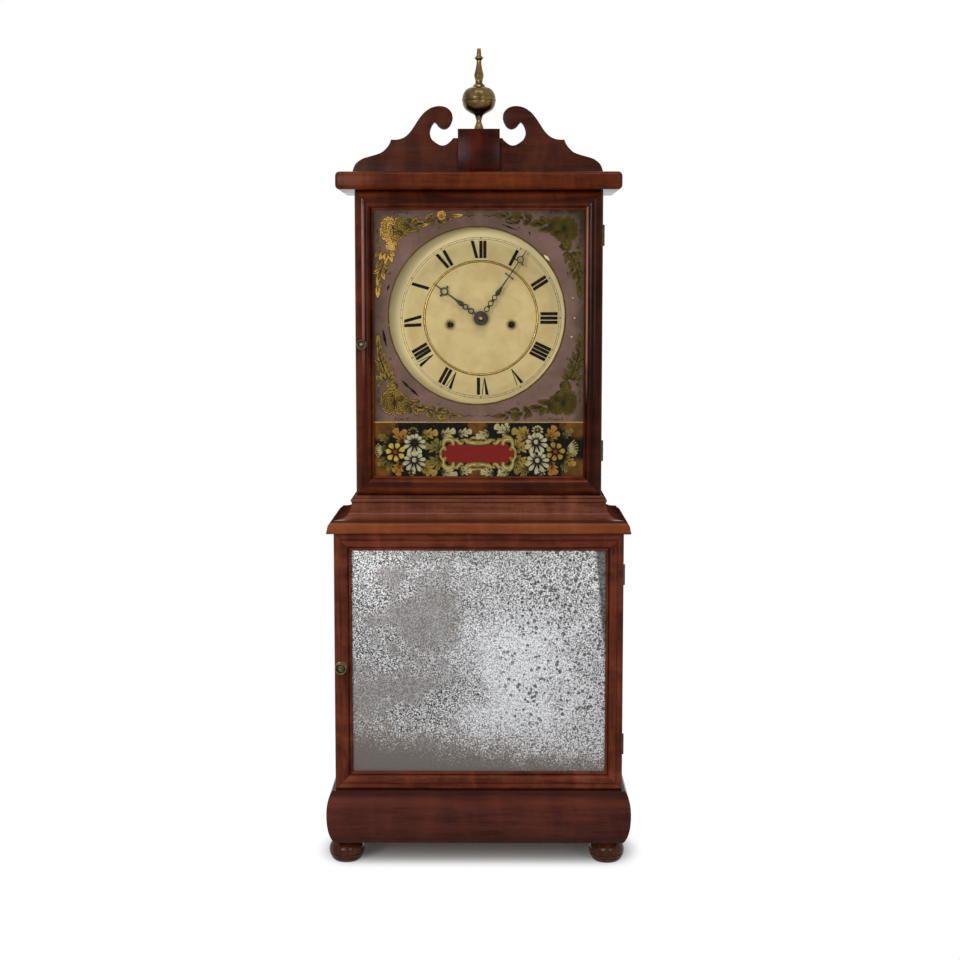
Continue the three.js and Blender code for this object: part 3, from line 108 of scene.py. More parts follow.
CAMERA_AIM = Vector((0, -0.06, 0.461))
CAMERA_DISTANCE = 2.1
CAMERA_RISE = math.radians(6)
CAMERA_SWING = math.radians(0.4)
CAMERA_LENS = 67.31
CAMERA_SHIFT = 0.00135
SENSOR_WIDTH = 36
LAMP_AIM = Vector((0, 0, 0.5))
# Name, place, size and power
LAMPS = (
    ("key_lamp", (-1.1, -2.8, 1.1), (1.0, 1.1), 28),
    ("strip_lamp", (-1.4, -2.5, 0.95), (0.08, 0.5), 13),
    ("fill_lamp", (1.3, -2.8, 1.0), (0.8, 1.1), 15),
    ("top_lamp", (0.0, -1.1, 2.7), (1.4, 0.4), 21),
)
# The strength of the room's light, against 1 for the white that is seen
ROOM_LIGHT = 0.38
FLOOR_HALF = 5.0
WHITE = (1, 1, 1, 1)


def linked(name, data):
    """An object of its data, put into the scene."""
    thing = bpy.data.objects.new(name, data)
    bpy.context.scene.collection.objects.link(thing)
    return thing


def place_camera(scene):
    level = CAMERA_DISTANCE * math.cos(CAMERA_RISE)
    rise = CAMERA_DISTANCE * math.sin(CAMERA_RISE)
    eye = CAMERA_AIM + Vector((level * math.sin(CAMERA_SWING), -level * math.cos(CAMERA_SWING), rise))
    lens = bpy.data.cameras.new("camera")
    lens.sensor_width = SENSOR_WIDTH
    lens.lens = CAMERA_LENS
    lens.shift_x = CAMERA_SHIFT
    camera = linked("camera", lens)
    camera.location = eye
    camera.rotation_euler = (CAMERA_AIM - eye).to_track_quat("-Z", "Y").to_euler()
    scene.camera = camera


def place_lamps():
    for name, place, size, power in LAMPS:
        light = bpy.data.lights.new(name, "AREA")
        light.shape = "RECTANGLE"
        light.size, light.size_y = size
        light.energy = power
        lamp = linked(name, light)
        lamp.location = place
        lamp.rotation_euler = (LAMP_AIM - Vector(place)).to_track_quat("-Z", "Y").to_euler()


def light_room(scene):
    """A room that looks white and gives a dimmer light."""
    world = bpy.data.worlds.new("studio_white")
    scene.world = world
    world.use_nodes = True
    sheet = Sheet(world.node_tree)
    seen = sheet.seen_directly()
    shine = world.node_tree.nodes["Background"]
    sheet.join(shine.inputs["Color"], WHITE)
    sheet.join(shine.inputs["Strength"], seen * (1 - ROOM_LIGHT) + ROOM_LIGHT)


def lay_floor():
    half = FLOOR_HALF
    corners = [(-half, -half, 0), (half, -half, 0), (half, half, 0), (-half, half, 0)]
    data = bpy.data.meshes.new("floor")
    data.from_pydata(corners, [], [(0, 1, 2, 3)])
    floor_finish()
    data.materials.append(finishes["floor_white"])
    linked("floor", data)


def studio():
    """The camera at the photograph's angle, a pale floor and four soft lamps in a white room."""
    scene = bpy.context.scene
    scene.view_settings.view_transform = "Standard"
    place_camera(scene)
    place_lamps()
    light_room(scene)
    lay_floor()


# Shader sheets


class Value:
    """A number socket that can be used in sums."""

    def __init__(self, sheet, socket):
        self.sheet = sheet
        self.socket = socket

    def maths(self, operation, first, second):
        return self.sheet.node("ShaderNodeMath", {"operation": operation}, {0: first, 1: second})

    def __add__(self, other):
        return self.maths("ADD", self, other)

    def __sub__(self, other):
        return self.maths("SUBTRACT", self, other)

    def __rsub__(self, other):
        return self.maths("SUBTRACT", other, self)

    def __mul__(self, other):
        return self.maths("MULTIPLY", self, other)

    def __truediv__(self, other):
        return self.maths("DIVIDE", self, other)

    def __pow__(self, other):
        return self.maths("POWER", self, other)

    __radd__ = __add__

    def over(self, other):
        return self.maths("MAXIMUM", self, other)

    def under(self, other):
        return self.maths("MINIMUM", self, other)

    def size(self):
        """The number without its sign."""
        return (self * self) ** 0.5

    def drift(self, amount):
        """A noise as a shift to both sides, by up to half the amount."""
        return (self - 0.5) * amount


def distance(first, second):
    """How far a place is from the centre, from its shares along two axes."""
    return (first * first + second * second) ** 0.5


class Sheet:
    """A tree of nodes that is written in expressions."""

    def __init__(self, tree):
        self.tree = tree

    def node(self, kind, settings=None, sockets=None, out=0):
        made = self.tree.nodes.new(kind)
        for key, value in (settings or {}).items():
            setattr(made, key, value)
        for key, value in (sockets or {}).items():
            self.join(made.inputs[key], value)
        return Value(self, made.outputs[out])

    def join(self, socket, value):
        if isinstance(value, Value):
            self.tree.links.new(value.socket, socket)
        else:
            socket.default_value = value

    def seen_directly(self):
        """1 for the camera's own rays, also in a reflection or through glass, and 0 for the light's."""
        kinds = ["Is Camera Ray", "Is Glossy Ray", "Is Transmission Ray"]
        rays = [self.node("ShaderNodeLightPath", out=kind) for kind in kinds]
        return rays[0].over(rays[1]).over(rays[2])

    def place(self, centre=(0, 0, 0), scale=(1, 1, 1)):
        """Object coordinates from a centre in millimetres, then scaled."""
        where = self.node("ShaderNodeTexCoord", out="Object")
        moved = self.node("ShaderNodeMapping", {"vector_type": "POINT"}, {
            "Vector": where, "Location": [-c * MM for c in centre]})
        return self.node("ShaderNodeMapping", {"vector_type": "POINT"}, {"Vector": moved, "Scale": scale})

    def noise(self, place, scale, detail=3, roughness=0.5, distortion=0.0):
        return self.node("ShaderNodeTexNoise", {}, {
            "Vector": place, "Scale": scale, "Detail": detail, "Roughness": roughness,
            "Distortion": distortion})

    def step(self, value, low, high, to_low=0.0, to_high=1.0):
        """A soft step up between two values."""
        return self.node("ShaderNodeMapRange", {"interpolation_type": "SMOOTHSTEP"}, {
            0: value, 1: low, 2: high, 3: to_low, 4: to_high})

    def fall(self, value, low, high, to_high=0.0):
        """A soft step down between two values."""
        return self.step(value, low, high, 1.0, to_high)

    def band(self, place, low, high, soft):
        """1 between two places in millimetres and 0 beside them, with soft ends."""
        rise = self.step(place, (low - soft) * MM, (low + soft) * MM)
        return rise * self.fall(place, (high - soft) * MM, (high + soft) * MM)

    def blend(self, factor, first, second):
        return self.node("ShaderNodeMix", {"data_type": "RGBA"}, {0: factor, 6: first, 7: second}, 2)

    def parts(self, vector):
        return [self.node("ShaderNodeSeparateXYZ", {}, {0: vector}, axis) for axis in range(3)]

    def bump(self, height, strength, depth):
        """Relief from a height, up to a depth in millimetres."""
        return self.node("ShaderNodeBump", {}, {
            "Height": height, "Strength": strength, "Distance": depth * MM})


def tone(red, green, blue):
    """A colour from its 0 to 255 values, as a shader takes it."""
    shares = [value / 255 for value in (red, green, blue)]
    line = [s / 12.92 if s <= 0.04045 else ((s + 0.055) / 1.055) ** 2.4 for s in shares]
    return (*line, 1.0)


# Finishes

finishes = {}


def finish_named(name):
    """The sheet and the surface shader of a new material."""
    material = bpy.data.materials.new(name)
    material.use_nodes = True
    finishes[name] = material
    return Sheet(material.node_tree), material.node_tree.nodes["Principled BSDF"]


def dress(sheet, surface, **sockets):
    for key, value in sockets.items():
        sheet.join(surface.inputs[key.replace("_", " ")], value)


# The floor glows white where it is seen, except in a zone round the clock that holds its shadow
SHADOW_ZONE_X, SHADOW_ZONE_Y = 0.149, 0.005
SHADOW_ZONE_SLOPE = 1.5
SHADOW_ZONE_FADE = 0.08
FLOOR_GREY = (0.58, 0.58, 0.58, 1)


def floor_finish():
    sheet, surface = finish_named("floor_white")
    x, y, _ = sheet.parts(sheet.place())
    out = ((x.size() - SHADOW_ZONE_X) * SHADOW_ZONE_SLOPE).over(0)
    ahead = (y.size() - SHADOW_ZONE_Y).over(0)
    far = sheet.step(distance(out, ahead), 0.0, SHADOW_ZONE_FADE)
    seen = sheet.seen_directly()
    dress(sheet, surface, Base_Color=FLOOR_GREY, Roughness=0.9)
    glow = sheet.node("ShaderNodeEmission", {}, {"Color": WHITE, "Strength": 1.0})
    plain = Value(sheet, surface.outputs[0])
    mixed = sheet.node("ShaderNodeMixShader", {}, {0: seen * far * far, 1: plain, 2: glow})
    sheet.join(sheet.tree.nodes["Material Output"].inputs["Surface"], mixed)


# The scale of the wood's figure on each axis, for each way of the grain
FIGURE_SCALES = {"x": (1.0, 0.5, 0.35), "y": (0.5, 1.0, 0.35), "z": (0.45, 0.5, 0.8)}
# The scale of its streaks and pores along the grain
STREAK_SCALE, PORE_SCALE = 0.09, 0.05
# The share of its dark colour that dirt and pores have, and the painted shade round a sight
DEEP_SHARE = 0.45
# Where the painted highlight and shade lines of the hood door's stiles begin and end in height, in metres
LIGHT_LINES_FOOT, LIGHT_LINES_HEAD = (0.54, 0.64), (0.777, 0.783)


def drawn_out(grain, share):
    """A scale that draws a pattern out along the grain."""
    return tuple(share if axis == grain else 1 for axis in "xyz")


def wood(name, dark, middle, light, grain="z", figure=0.6, gloss=0.3, centre=(0, 0, 0), mottle=14,
         shine=0.05, members=(), shaded_sight=None, light_and_shade_lines=()):
    """Polished wood: streaks along the grain, a figure across it, pores and a worn polish.

    Members and light_and_shade_lines are bands of painted light and shade, in height and in width, as (low,
    high, soft, share, colour).
    The shaded_sight is an opening with painted shade round it, as (half width, foot, head, share).
    """
    sheet, surface = finish_named(name)
    figured = sheet.place(centre, FIGURE_SCALES[grain])
    streaks = sheet.noise(sheet.place(centre, drawn_out(grain, STREAK_SCALE)), 150, 5, 0.62, 0.5)
    bands = sheet.noise(figured, mottle, 4, 0.55, 1.4)
    fine = sheet.noise(figured, mottle * 5, 3, 0.6, 0.8)
    pores = sheet.noise(sheet.place(centre, drawn_out(grain, PORE_SCALE)), 1500, 2, 0.5)
    pores = sheet.step(pores, 0.58, 0.72)
    wear = sheet.noise(sheet.place(centre), 36, 3, 0.6)
    base = sheet.blend(sheet.step(streaks, 0.32, 0.68), tone(*dark), tone(*middle))
    shimmer = (sheet.step(bands, 0.42, 0.68) * 0.7 + sheet.step(fine, 0.45, 0.75) * 0.3) * figure
    warm = sheet.blend(shimmer, base, tone(*light))
    deep = tone(*[value * DEEP_SHARE for value in dark])
    colour = sheet.blend(pores * 0.5 + sheet.step(wear, 0.62, 0.8) * 0.25, warm, deep)
    across, _, height = sheet.parts(sheet.place())
    # Painted light and shade in bands along the height
    for low, high, soft, share, shade in members:
        inside = sheet.band(height, low, high, soft)
        colour = sheet.blend(inside * share, colour, tone(*shade))
    # Painted shade in the hollow of the frame round the opening
    if shaded_sight:
        half, foot, head, share = shaded_sight
        aside = (across.size() - half * MM).over(height - head * MM).over(foot * MM - height)
        hollow = sheet.step(aside, 0.0005, 0.0025) * sheet.fall(aside, 0.006, 0.0105)
        colour = sheet.blend(hollow * share, colour, deep)
    # Painted highlight and shade lines along the width, fading out low down
    for low, high, soft, share, shade in light_and_shade_lines:
        line = sheet.band(across, low, high, soft)
        faded = sheet.step(height + wear.drift(0.1), *LIGHT_LINES_FOOT) * sheet.fall(height, *LIGHT_LINES_HEAD)
        colour = sheet.blend(line * faded * share, colour, tone(*shade))
    dress(
        sheet, surface,
        Base_Color=colour,
        Roughness=gloss + sheet.step(wear, 0.3, 0.75) * 0.09 + pores * 0.08,
        Specular_IOR_Level=shine,
        Normal=sheet.bump(streaks * 0.35 + fine * 0.4 - pores * 0.3, 0.1, 0.12),
    )


def metal(name, colour, dull, roughness, cover, patchy, metallic, relief):
    """Metal with a patchy tarnish and fine handling marks."""
    sheet, surface = finish_named(name)
    patches = sheet.noise(sheet.place(), patchy, 5, 0.65, 0.6)
    spots = sheet.step(sheet.noise(sheet.place(), patchy * 5, 3, 0.6), 0.6, 0.72)
    marks = sheet.noise(sheet.place(scale=(1, 1, 0.2)), patchy * 12, 2, 0.5)
    stain = (sheet.step(patches, 0.38, 0.66) * cover + spots * 0.35).under(1.0)
    dress(
        sheet, surface,
        Base_Color=sheet.blend(stain, tone(*colour), tone(*dull)),
        Metallic=metallic,
        Roughness=stain * 0.25 + roughness,
        Normal=sheet.bump(marks * 0.5 + spots * 0.5, relief, 0.1),
    )


def paint(name, colour, worn, roughness, amount, grainy, metallic, root):
    """Old paint or leaf with small worn places, darker at the root of each stroke where it has one."""
    sheet, surface = finish_named(name)
    soft = sheet.noise(sheet.place(), grainy, 4, 0.6, 0.4)
    fine = sheet.noise(sheet.place(), grainy * 4, 3, 0.6)
    spent = (sheet.step(soft, 0.42, 0.7) * 0.7 + sheet.step(fine, 0.5, 0.75) * 0.5) * amount
    laid = sheet.blend(spent.under(1.0), tone(*colour), tone(*worn))
    if root:
        along = sheet.node("ShaderNodeAttribute", {"attribute_name": "along"}, out="Fac")
        laid = sheet.blend(sheet.step(along + soft.drift(0.4), 0.0, 0.55), tone(*root), laid)
    dress(
        sheet, surface,
        Base_Color=laid,
        Roughness=roughness,
        Metallic=metallic,
        Specular_IOR_Level=0.03,
        Normal=sheet.bump(fine, 0.1, 0.1),
    )


def dial_finish():
    """Cream dial paint: clouded, dirty round the hub and the winding holes, with painted light that pales
    the rim.
    """
    sheet, surface = finish_named("dial_cream")
    x, _, z = sheet.parts(sheet.place((2.2, 0, 649)))
    radius = distance(x, z)
    clouds = sheet.noise(sheet.place(), 34, 5, 0.6, 0.5)
    specks = sheet.step(sheet.noise(sheet.place(), 420, 3, 0.6), 0.62, 0.74)
    base = sheet.blend(sheet.step(clouds, 0.35, 0.7), tone(194, 175, 121), tone(180, 158, 104))
    ragged = radius + clouds.drift(0.006)
    # Painted light: the rim is paler, less so low down, to lift the shadow that the mask casts on the dial
    above = sheet.step(z, -0.095, -0.04, 0.25, 1.0)
    rim = sheet.step(ragged, 0.085, 0.1) * above
    rim_lightened = sheet.blend(rim * 0.9, base, tone(234, 214, 158))
    hidden = sheet.step(ragged, 0.104, 0.111)
    rim_lightened = sheet.blend(hidden * 0.9, rim_lightened, tone(196, 178, 126))
    grime = sheet.fall(radius, 0.006, 0.013) * 0.5
    for side in (-1, 1):
        near = distance(x - side * WINDING_X * MM, z + WINDING_DROP * MM)
        grime = sheet.fall(near, 0.0042, 0.0085) * 0.75 + grime
    darkened = sheet.blend((grime + specks * 0.14).under(1.0), rim_lightened, tone(92, 74, 40))
    dress(
        sheet, surface,
        Base_Color=darkened,
        Roughness=0.5,
        Specular_IOR_Level=0.15,
        Normal=sheet.bump(clouds, 0.08, 0.2),
    )


def mask_finish():
    """Mauve ground behind the glass, darker towards the frame and darkest at one corner."""
    sheet, surface = finish_named("mask_mauve")
    x, _, z = sheet.parts(sheet.place((0, 0, 652)))
    clouds = sheet.noise(sheet.place(), 26, 5, 0.62, 0.8)
    fine = sheet.noise(sheet.place(), 320, 4, 0.62)
    base = sheet.blend(sheet.step(clouds, 0.35, 0.68), tone(113, 87, 79), tone(97, 75, 64))
    speckle = sheet.blend(sheet.step(fine, 0.5, 0.75) * 0.3, base, tone(74, 58, 44))
    side = sheet.step(x.size() + clouds.drift(0.02), 0.106, 0.123)
    edge = side.over(sheet.step(z + clouds.drift(0.02), 0.112, 0.126))
    corner = sheet.step(x + z + clouds.drift(0.05), 0.186, 0.238)
    darkened = sheet.blend((edge * 0.6 + corner * 0.6).under(0.95), speckle, tone(46, 38, 22))
    dress(
        sheet, surface,
        Base_Color=darkened,
        Roughness=0.6,
        Specular_IOR_Level=0.04,
        Normal=sheet.bump(fine, 0.08, 0.1),
    )


# Brown spots of the tablet's ground, as (centre x, centre z, radius)
TABLET_BARE = (
    (-120, 28, 26), (-122, -26, 22), (120, 30, 26), (118, -28, 22), (-2, 24, 13), (-2, -30, 13),
)


def tablet_finish():
    """Black ground of the lower tablet, with brown left bare at its corners and middle."""
    sheet, surface = finish_named("tablet_ground")
    x, _, z = sheet.parts(sheet.place((0, 0, 497)))
    clouds = sheet.noise(sheet.place(), 60, 4, 0.6, 0.6)
    spots = []
    for cx, cz, radius in TABLET_BARE:
        dx = (x - cx * MM) / (radius * MM)
        dz = (z - cz * MM) / (0.8 * radius * MM)
        spots.append(sheet.fall(dx * dx + dz * dz + clouds.drift(0.9), 0.25, 1.1))
    bare = spots[0]
    for spot in spots[1:]:
        bare = bare.over(spot)
    brown = sheet.blend(sheet.step(clouds, 0.35, 0.7), tone(104, 66, 24), tone(70, 44, 16))
    ground = sheet.blend(bare, tone(13, 12, 10), brown)
    dress(sheet, surface, Base_Color=ground, Roughness=0.5, Specular_IOR_Level=0.02)


def mirror_finish():
    """Old silvering: clouded and pitted, grey and even along the foot, and a painted reflection, white low
    on the right.
    """
    sheet, surface = finish_named("mirror_silver")
    x, _, z = sheet.parts(sheet.place((0, 0, 244)))
    big = sheet.noise(sheet.place(), 13, 5, 0.62, 0.9)
    cloud = sheet.noise(sheet.place((40, 0, 90)), 40, 5, 0.65, 0.5)
    flecks = sheet.noise(sheet.place(), 560, 3, 0.75, 0.2)
    grit = sheet.noise(sheet.place((3, 5, 9)), 1150, 2, 0.7)
    cells = {"Vector": sheet.place((20, 5, 10)), "Scale": 150.0}
    pits = sheet.node("ShaderNodeTexVoronoi", {}, cells, out="Distance")

    # Painted reflection: the right half is brighter, with a white patch low on it
    bright = sheet.step(x + big.drift(0.24), -0.05, 0.04)
    low = sheet.fall(z + cloud.drift(0.1), 0.02, 0.075) * sheet.step(z + cloud.drift(0.06), -0.1, -0.06)
    white = bright * low * sheet.fall(x + cloud.drift(0.16), 0.07, 0.13, 0.15)

    core = sheet.fall(distance(x + 0.055, z - 0.055) + cloud.drift(0.12), 0.01, 0.055)
    calm = cloud * 0.6 + big * 0.6 - bright * 0.1 - z * 0.1 + core * 0.14
    calm = sheet.step(calm, 0.55, 0.71) * 0.72
    speckle = flecks * 0.6 + grit * 0.4 + white * 0.02 + bright * 0.012 + big.drift(0.05)
    speckle = sheet.step(speckle, 0.484, 0.534)
    grey = sheet.blend(speckle, tone(38, 36, 34), tone(216, 216, 217))
    dull = sheet.blend(calm * (1 - white), grey, tone(117, 112, 109))
    shine = sheet.blend(white * sheet.step(grit, 0.44, 0.57) * 0.55, dull, tone(232, 235, 243))

    pitted = sheet.step(x + big.drift(0.1), 0.0, 0.05) * sheet.step(z, -0.1, -0.06)
    holes = sheet.fall(pits + cloud.drift(0.5) + flecks.drift(0.3), 0.25, 0.32) * pitted * 0.85
    spotted = sheet.blend(holes, shine, tone(66, 64, 64))
    foot = sheet.fall(z + x * 0.12 + cloud.drift(0.05) + flecks.drift(0.1), -0.118, -0.082)
    even = sheet.blend(foot * 0.96, spotted, tone(104, 97, 92))
    stain = sheet.step(x + z * 0.07 + cloud.drift(0.004), 0.1455, 0.1495) * sheet.step(z, -0.01, 0.05)
    dress(
        sheet, surface,
        Base_Color=sheet.blend(stain * 0.85, even, tone(58, 64, 57)),
        Metallic=0.1,
        Specular_IOR_Level=0.08,
        Roughness=speckle * -0.2 + holes * 0.1 + 0.5,
        Normal=sheet.bump(flecks, 0.05, 0.1),
    )


def glass_finish():
    """Thin old window glass that lets its back be seen."""
    sheet, surface = finish_named("pane_clear")
    waves = sheet.noise(sheet.place(), 18, 2, 0.5, 0.5)
    dress(
        sheet, surface,
        Base_Color=tone(90, 90, 84),
        Roughness=0.05,
        Alpha=0.02,
        Specular_IOR_Level=0.03,
        Normal=sheet.bump(waves, 0.04, 0.4),
    )


# Painted highlight and shade lines of the hood door's stiles, as (left, right, soft, share, colour)
LEFT_STILE_LIGHT_AND_SHADE = (
    (-136.8, -133.6, 0.5, 0.4, (160, 92, 70)),
    (-129.5, -123.5, 1.0, 0.45, (34, 10, 3)),
)
RIGHT_STILE_HIGHLIGHT = ((125.3, 127.2, 0.4, 0.8, (190, 134, 110)),)
# Bands of painted light and shade up the base and up the waist moulding, as (foot, head, soft, share,
# colour)
BASE_LIGHT_AND_SHADE = (
    (86, 94, 3, 0.6, (34, 12, 7)),
    (73, 82, 3, 0.22, (112, 52, 24)),
    (27, 36, 4, 0.5, (44, 20, 15)),
)
WAIST_LIGHT_AND_SHADE = (
    (13.2, 15.2, 0.3, 0.8, (26, 8, 4)),
    (33.9, 34.7, 0.3, 0.75, (26, 8, 4)),
    (38.4, 39.2, 0.3, 0.75, (26, 8, 4)),
    (1.5, 12.6, 1.0, 0.4, (138, 68, 30)),
    (35, 38.2, 0.4, 0.25, (130, 76, 46)),
    (-1, 1, 0.5, 0.6, (40, 14, 8)),
    (15.4, 21, 3.0, 0.35, (124, 68, 46)),
)


def make_woods():
    """Mahogany for what shows and pine for what doesn't, each piece with its own cut of the grain."""
    # Painted shade in the hollow of the hood door's frame round the glass
    shaded_sight = (GLASS_HALF, *GLASS_Z, 0.6)
    waist_light_and_shade = [(WAIST_Z + foot, WAIST_Z + head, *rest) for foot, head, *rest in WAIST_LIGHT_AND_SHADE]
    wood("hood_wood_upright", (36, 10, 2), (78, 30, 9), (122, 54, 20), figure=0.5, gloss=0.09, shine=0.06,
         shaded_sight=shaded_sight, light_and_shade_lines=LEFT_STILE_LIGHT_AND_SHADE)
    # A darker copy of the stiles' wood: painted shade on the right stile
    wood("hood_wood_right_shaded", (24, 6, 1), (54, 18, 6), (90, 38, 15), figure=0.5, gloss=0.1, centre=(70, 0, 0),
         shaded_sight=shaded_sight, light_and_shade_lines=RIGHT_STILE_HIGHLIGHT)
    wood("hood_wood_level", (52, 19, 10), (92, 39, 20), (128, 62, 34), "x", figure=0.5, gloss=0.1,
         centre=(0, 0, 40), shaded_sight=shaded_sight)
    wood("door_wood_upright", (58, 23, 13), (93, 42, 26), (134, 68, 46), figure=0.55, gloss=0.12,
         centre=(50, 0, 9))
    wood("door_wood_level", (66, 28, 17), (97, 45, 29), (134, 70, 48), "x", figure=0.55, gloss=0.12,
         centre=(9, 0, 60))
    wood("side_wood", (48, 17, 7), (78, 32, 14), (108, 52, 26), figure=0.7, gloss=0.26, centre=(0, 30, 5),
         mottle=9, shine=0.03)
    wood("base_wood", (52, 23, 18), (73, 35, 29), (104, 53, 38), "x", figure=0.5, gloss=0.13,
         centre=(12, 0, 0), mottle=5, members=BASE_LIGHT_AND_SHADE)
    wood("base_wood_side", (52, 23, 18), (73, 35, 29), (104, 53, 38), "y", figure=0.5, gloss=0.16,
         centre=(12, 0, 0), mottle=5, shine=0.02, members=BASE_LIGHT_AND_SHADE)
    wood("waist_wood", (60, 26, 16), (94, 49, 34), (130, 76, 52), "x", gloss=0.12, centre=(0, 0, 25),
         mottle=16, members=waist_light_and_shade)
    # A darker copy of the waist's wood: painted shade on the returns
    wood("waist_wood_side_shaded", (44, 18, 11), (74, 36, 24), (104, 58, 40), "y", centre=(0, 0, 25), mottle=16,
         shine=0.0, members=waist_light_and_shade)
    wood("cornice_wood", (58, 21, 8), (79, 31, 11), (118, 56, 23), "x", gloss=0.12, centre=(4, 9, 0),
         mottle=12)
    wood("crest_wood", (36, 13, 6), (58, 24, 12), (80, 37, 22), "x", figure=0.7, gloss=0.32,
         centre=(0, 0, 3), mottle=20)
    wood("plinth_wood", (26, 5, 1), (48, 10, 4), (74, 24, 10), "x", figure=0.8, gloss=0.18,
         centre=(0, 0, 8), mottle=30, shine=0.06)
    wood("foot_wood", (44, 18, 9), (72, 34, 20), (104, 56, 34), figure=0.4, gloss=0.1, mottle=30, shine=0.12)
    for name, grain in (("pine_boards", "z"), ("pine_level", "x")):
        wood(name, (104, 72, 40), (142, 104, 62), (168, 130, 84), grain, figure=0.4, gloss=0.7, mottle=8,
             shine=0.08)


# Name, colour, dulled colour, roughness, share dulled, patches per metre, metallic, relief of the marks
METALS = (
    ("brass_finial", (116, 94, 56), (52, 40, 24), 0.2, 0.85, 60, 1.0, 0.03),
    ("brass_knob", (104, 92, 66), (46, 38, 26), 0.3, 0.75, 240, 1.0, 0.12),
    ("brass_works", (176, 140, 70), (110, 82, 40), 0.25, 0.4, 60, 1.0, 0.12),
    ("steel_works", (150, 148, 144), (90, 86, 80), 0.25, 0.4, 90, 1.0, 0.12),
    ("hinge_dark", (66, 54, 40), (26, 22, 17), 0.35, 0.8, 200, 1.0, 0.12),
    # Near-black steel for the ends of the winding squares, as painted shade in the winding holes
    ("winding_hole_shade_steel", (30, 28, 26), (14, 13, 12), 0.4, 0.6, 300, 1.0, 0.12),
    ("bell_metal", (190, 176, 140), (120, 104, 74), 0.18, 0.35, 60, 1.0, 0.12),
    ("iron_cast", (46, 44, 43), (70, 44, 30), 0.55, 0.4, 160, 0.8, 0.12),
    ("hand_black", (16, 14, 13), (52, 36, 24), 0.4, 0.35, 400, 0.4, 0.12),
    ("gilt_ring", (172, 140, 74), (100, 82, 40), 0.2, 0.6, 40, 1.0, 0.03),
)

# Name, colour, worn colour, roughness, share worn, spots per metre, metallic, colour at the root
PAINTS = (
    ("gilt_bright", (186, 146, 68), (124, 96, 38), 0.4, 1.0, 420, 0.3, (104, 72, 26)),
    ("gilt_olive", (136, 110, 44), (80, 66, 24), 0.42, 1.0, 420, 0.3, (62, 50, 18)),
    ("gilt_dark", (88, 75, 20), (50, 43, 13), 0.45, 1.0, 420, 0.3, (36, 32, 12)),
    ("gilt_light", (238, 204, 116), (190, 148, 64), 0.4, 0.6, 420, 0.35, None),
    ("gilt_rim", (122, 98, 40), (60, 48, 20), 0.45, 0.8, 260, 0.3, None),
    ("gilt_shade", (34, 26, 12), (20, 17, 8), 0.55, 0.5, 260, 0, None),
    ("gilt_edge", (58, 46, 26), (38, 32, 18), 0.55, 0.5, 260, 0, None),
    ("ink_black", (12, 11, 10), (46, 40, 28), 0.5, 0.3, 260, 0, None),
    ("ink_worn", (74, 70, 54), (150, 136, 96), 0.55, 0.7, 120, 0, None),
    ("leaf_orange", (150, 104, 44), (88, 60, 22), 0.5, 0.7, 300, 0, (36, 22, 8)),
    ("leaf_gold", (146, 122, 54), (80, 66, 26), 0.5, 0.7, 300, 0, (30, 25, 8)),
    ("leaf_cream", (168, 158, 114), (104, 94, 56), 0.5, 0.7, 300, 0, (34, 30, 14)),
    ("leaf_olive", (112, 100, 46), (60, 54, 22), 0.5, 0.7, 300, 0, (22, 20, 8)),
    ("petal_cream", (168, 161, 129), (118, 112, 84), 0.5, 0.6, 300, 0, (44, 40, 24)),
    ("petal_yellow", (178, 150, 66), (120, 96, 38), 0.5, 0.4, 300, 0, (90, 60, 24)),
    ("flower_heart", (120, 44, 26), (74, 24, 16), 0.5, 0.5, 300, 0, None),
    ("cartouche_red", (112, 27, 22), (88, 16, 18), 0.5, 0.4, 120, 0, None),
    ("scroll_gold", (140, 122, 62), (74, 62, 26), 0.5, 0.9, 300, 0, None),
    ("scroll_light", (200, 186, 124), (140, 122, 70), 0.5, 0.8, 300, 0, None),
    ("flake_white", (206, 192, 146), (170, 160, 140), 0.5, 0.3, 260, 0, None),
    ("gut_line", (176, 150, 100), (120, 96, 60), 0.6, 0.5, 600, 0, None),
)


def make_finishes():
    make_woods()
    for row in METALS:
        metal(*row)
    for row in PAINTS:
        paint(*row)
    dial_finish()
    mask_finish()
    tablet_finish()
    mirror_finish()
    glass_finish()


# Meshes

# Edges that turn by more degrees than this stay hard
CREASE = 35
SAME_PLACE = 0.000002


def raw_mesh(name, corners, faces):
    """A mesh from corners in millimetres, as it is given."""
    data = bpy.data.meshes.new(name)
    data.from_pydata([tuple(c * MM for c in corner) for corner in corners], [], faces)
    return data


def piece(name, corners, faces, finish, angle=CREASE):
    """A piece from corners in millimetres, with its doubles merged and its faces outward."""
    data = raw_mesh(name, corners, faces)
    work = bmesh.new()
    work.from_mesh(data)
    bmesh.ops.remove_doubles(work, verts=work.verts, dist=SAME_PLACE)
    bmesh.ops.dissolve_degenerate(work, dist=SAME_PLACE, edges=work.edges)
    bmesh.ops.recalc_face_normals(work, faces=work.faces)
    work.to_mesh(data)
    work.free()
    data.materials.append(finishes[finish])
    smooth(data, angle)
    return linked(name, data)


def smooth(data, angle=CREASE):
    """Rounds the shading of every face, and parts it where two faces meet at more than the angle."""
    data.set_sharp_from_angle(angle=math.radians(angle))


def settled(thing):
    """The thing's mesh with its modifiers worked in."""
    bpy.context.view_layer.update()
    seen = thing.evaluated_get(bpy.context.evaluated_depsgraph_get())
    data = bpy.data.meshes.new_from_object(seen)
    thing.modifiers.clear()
    thing.data = data
    return thing


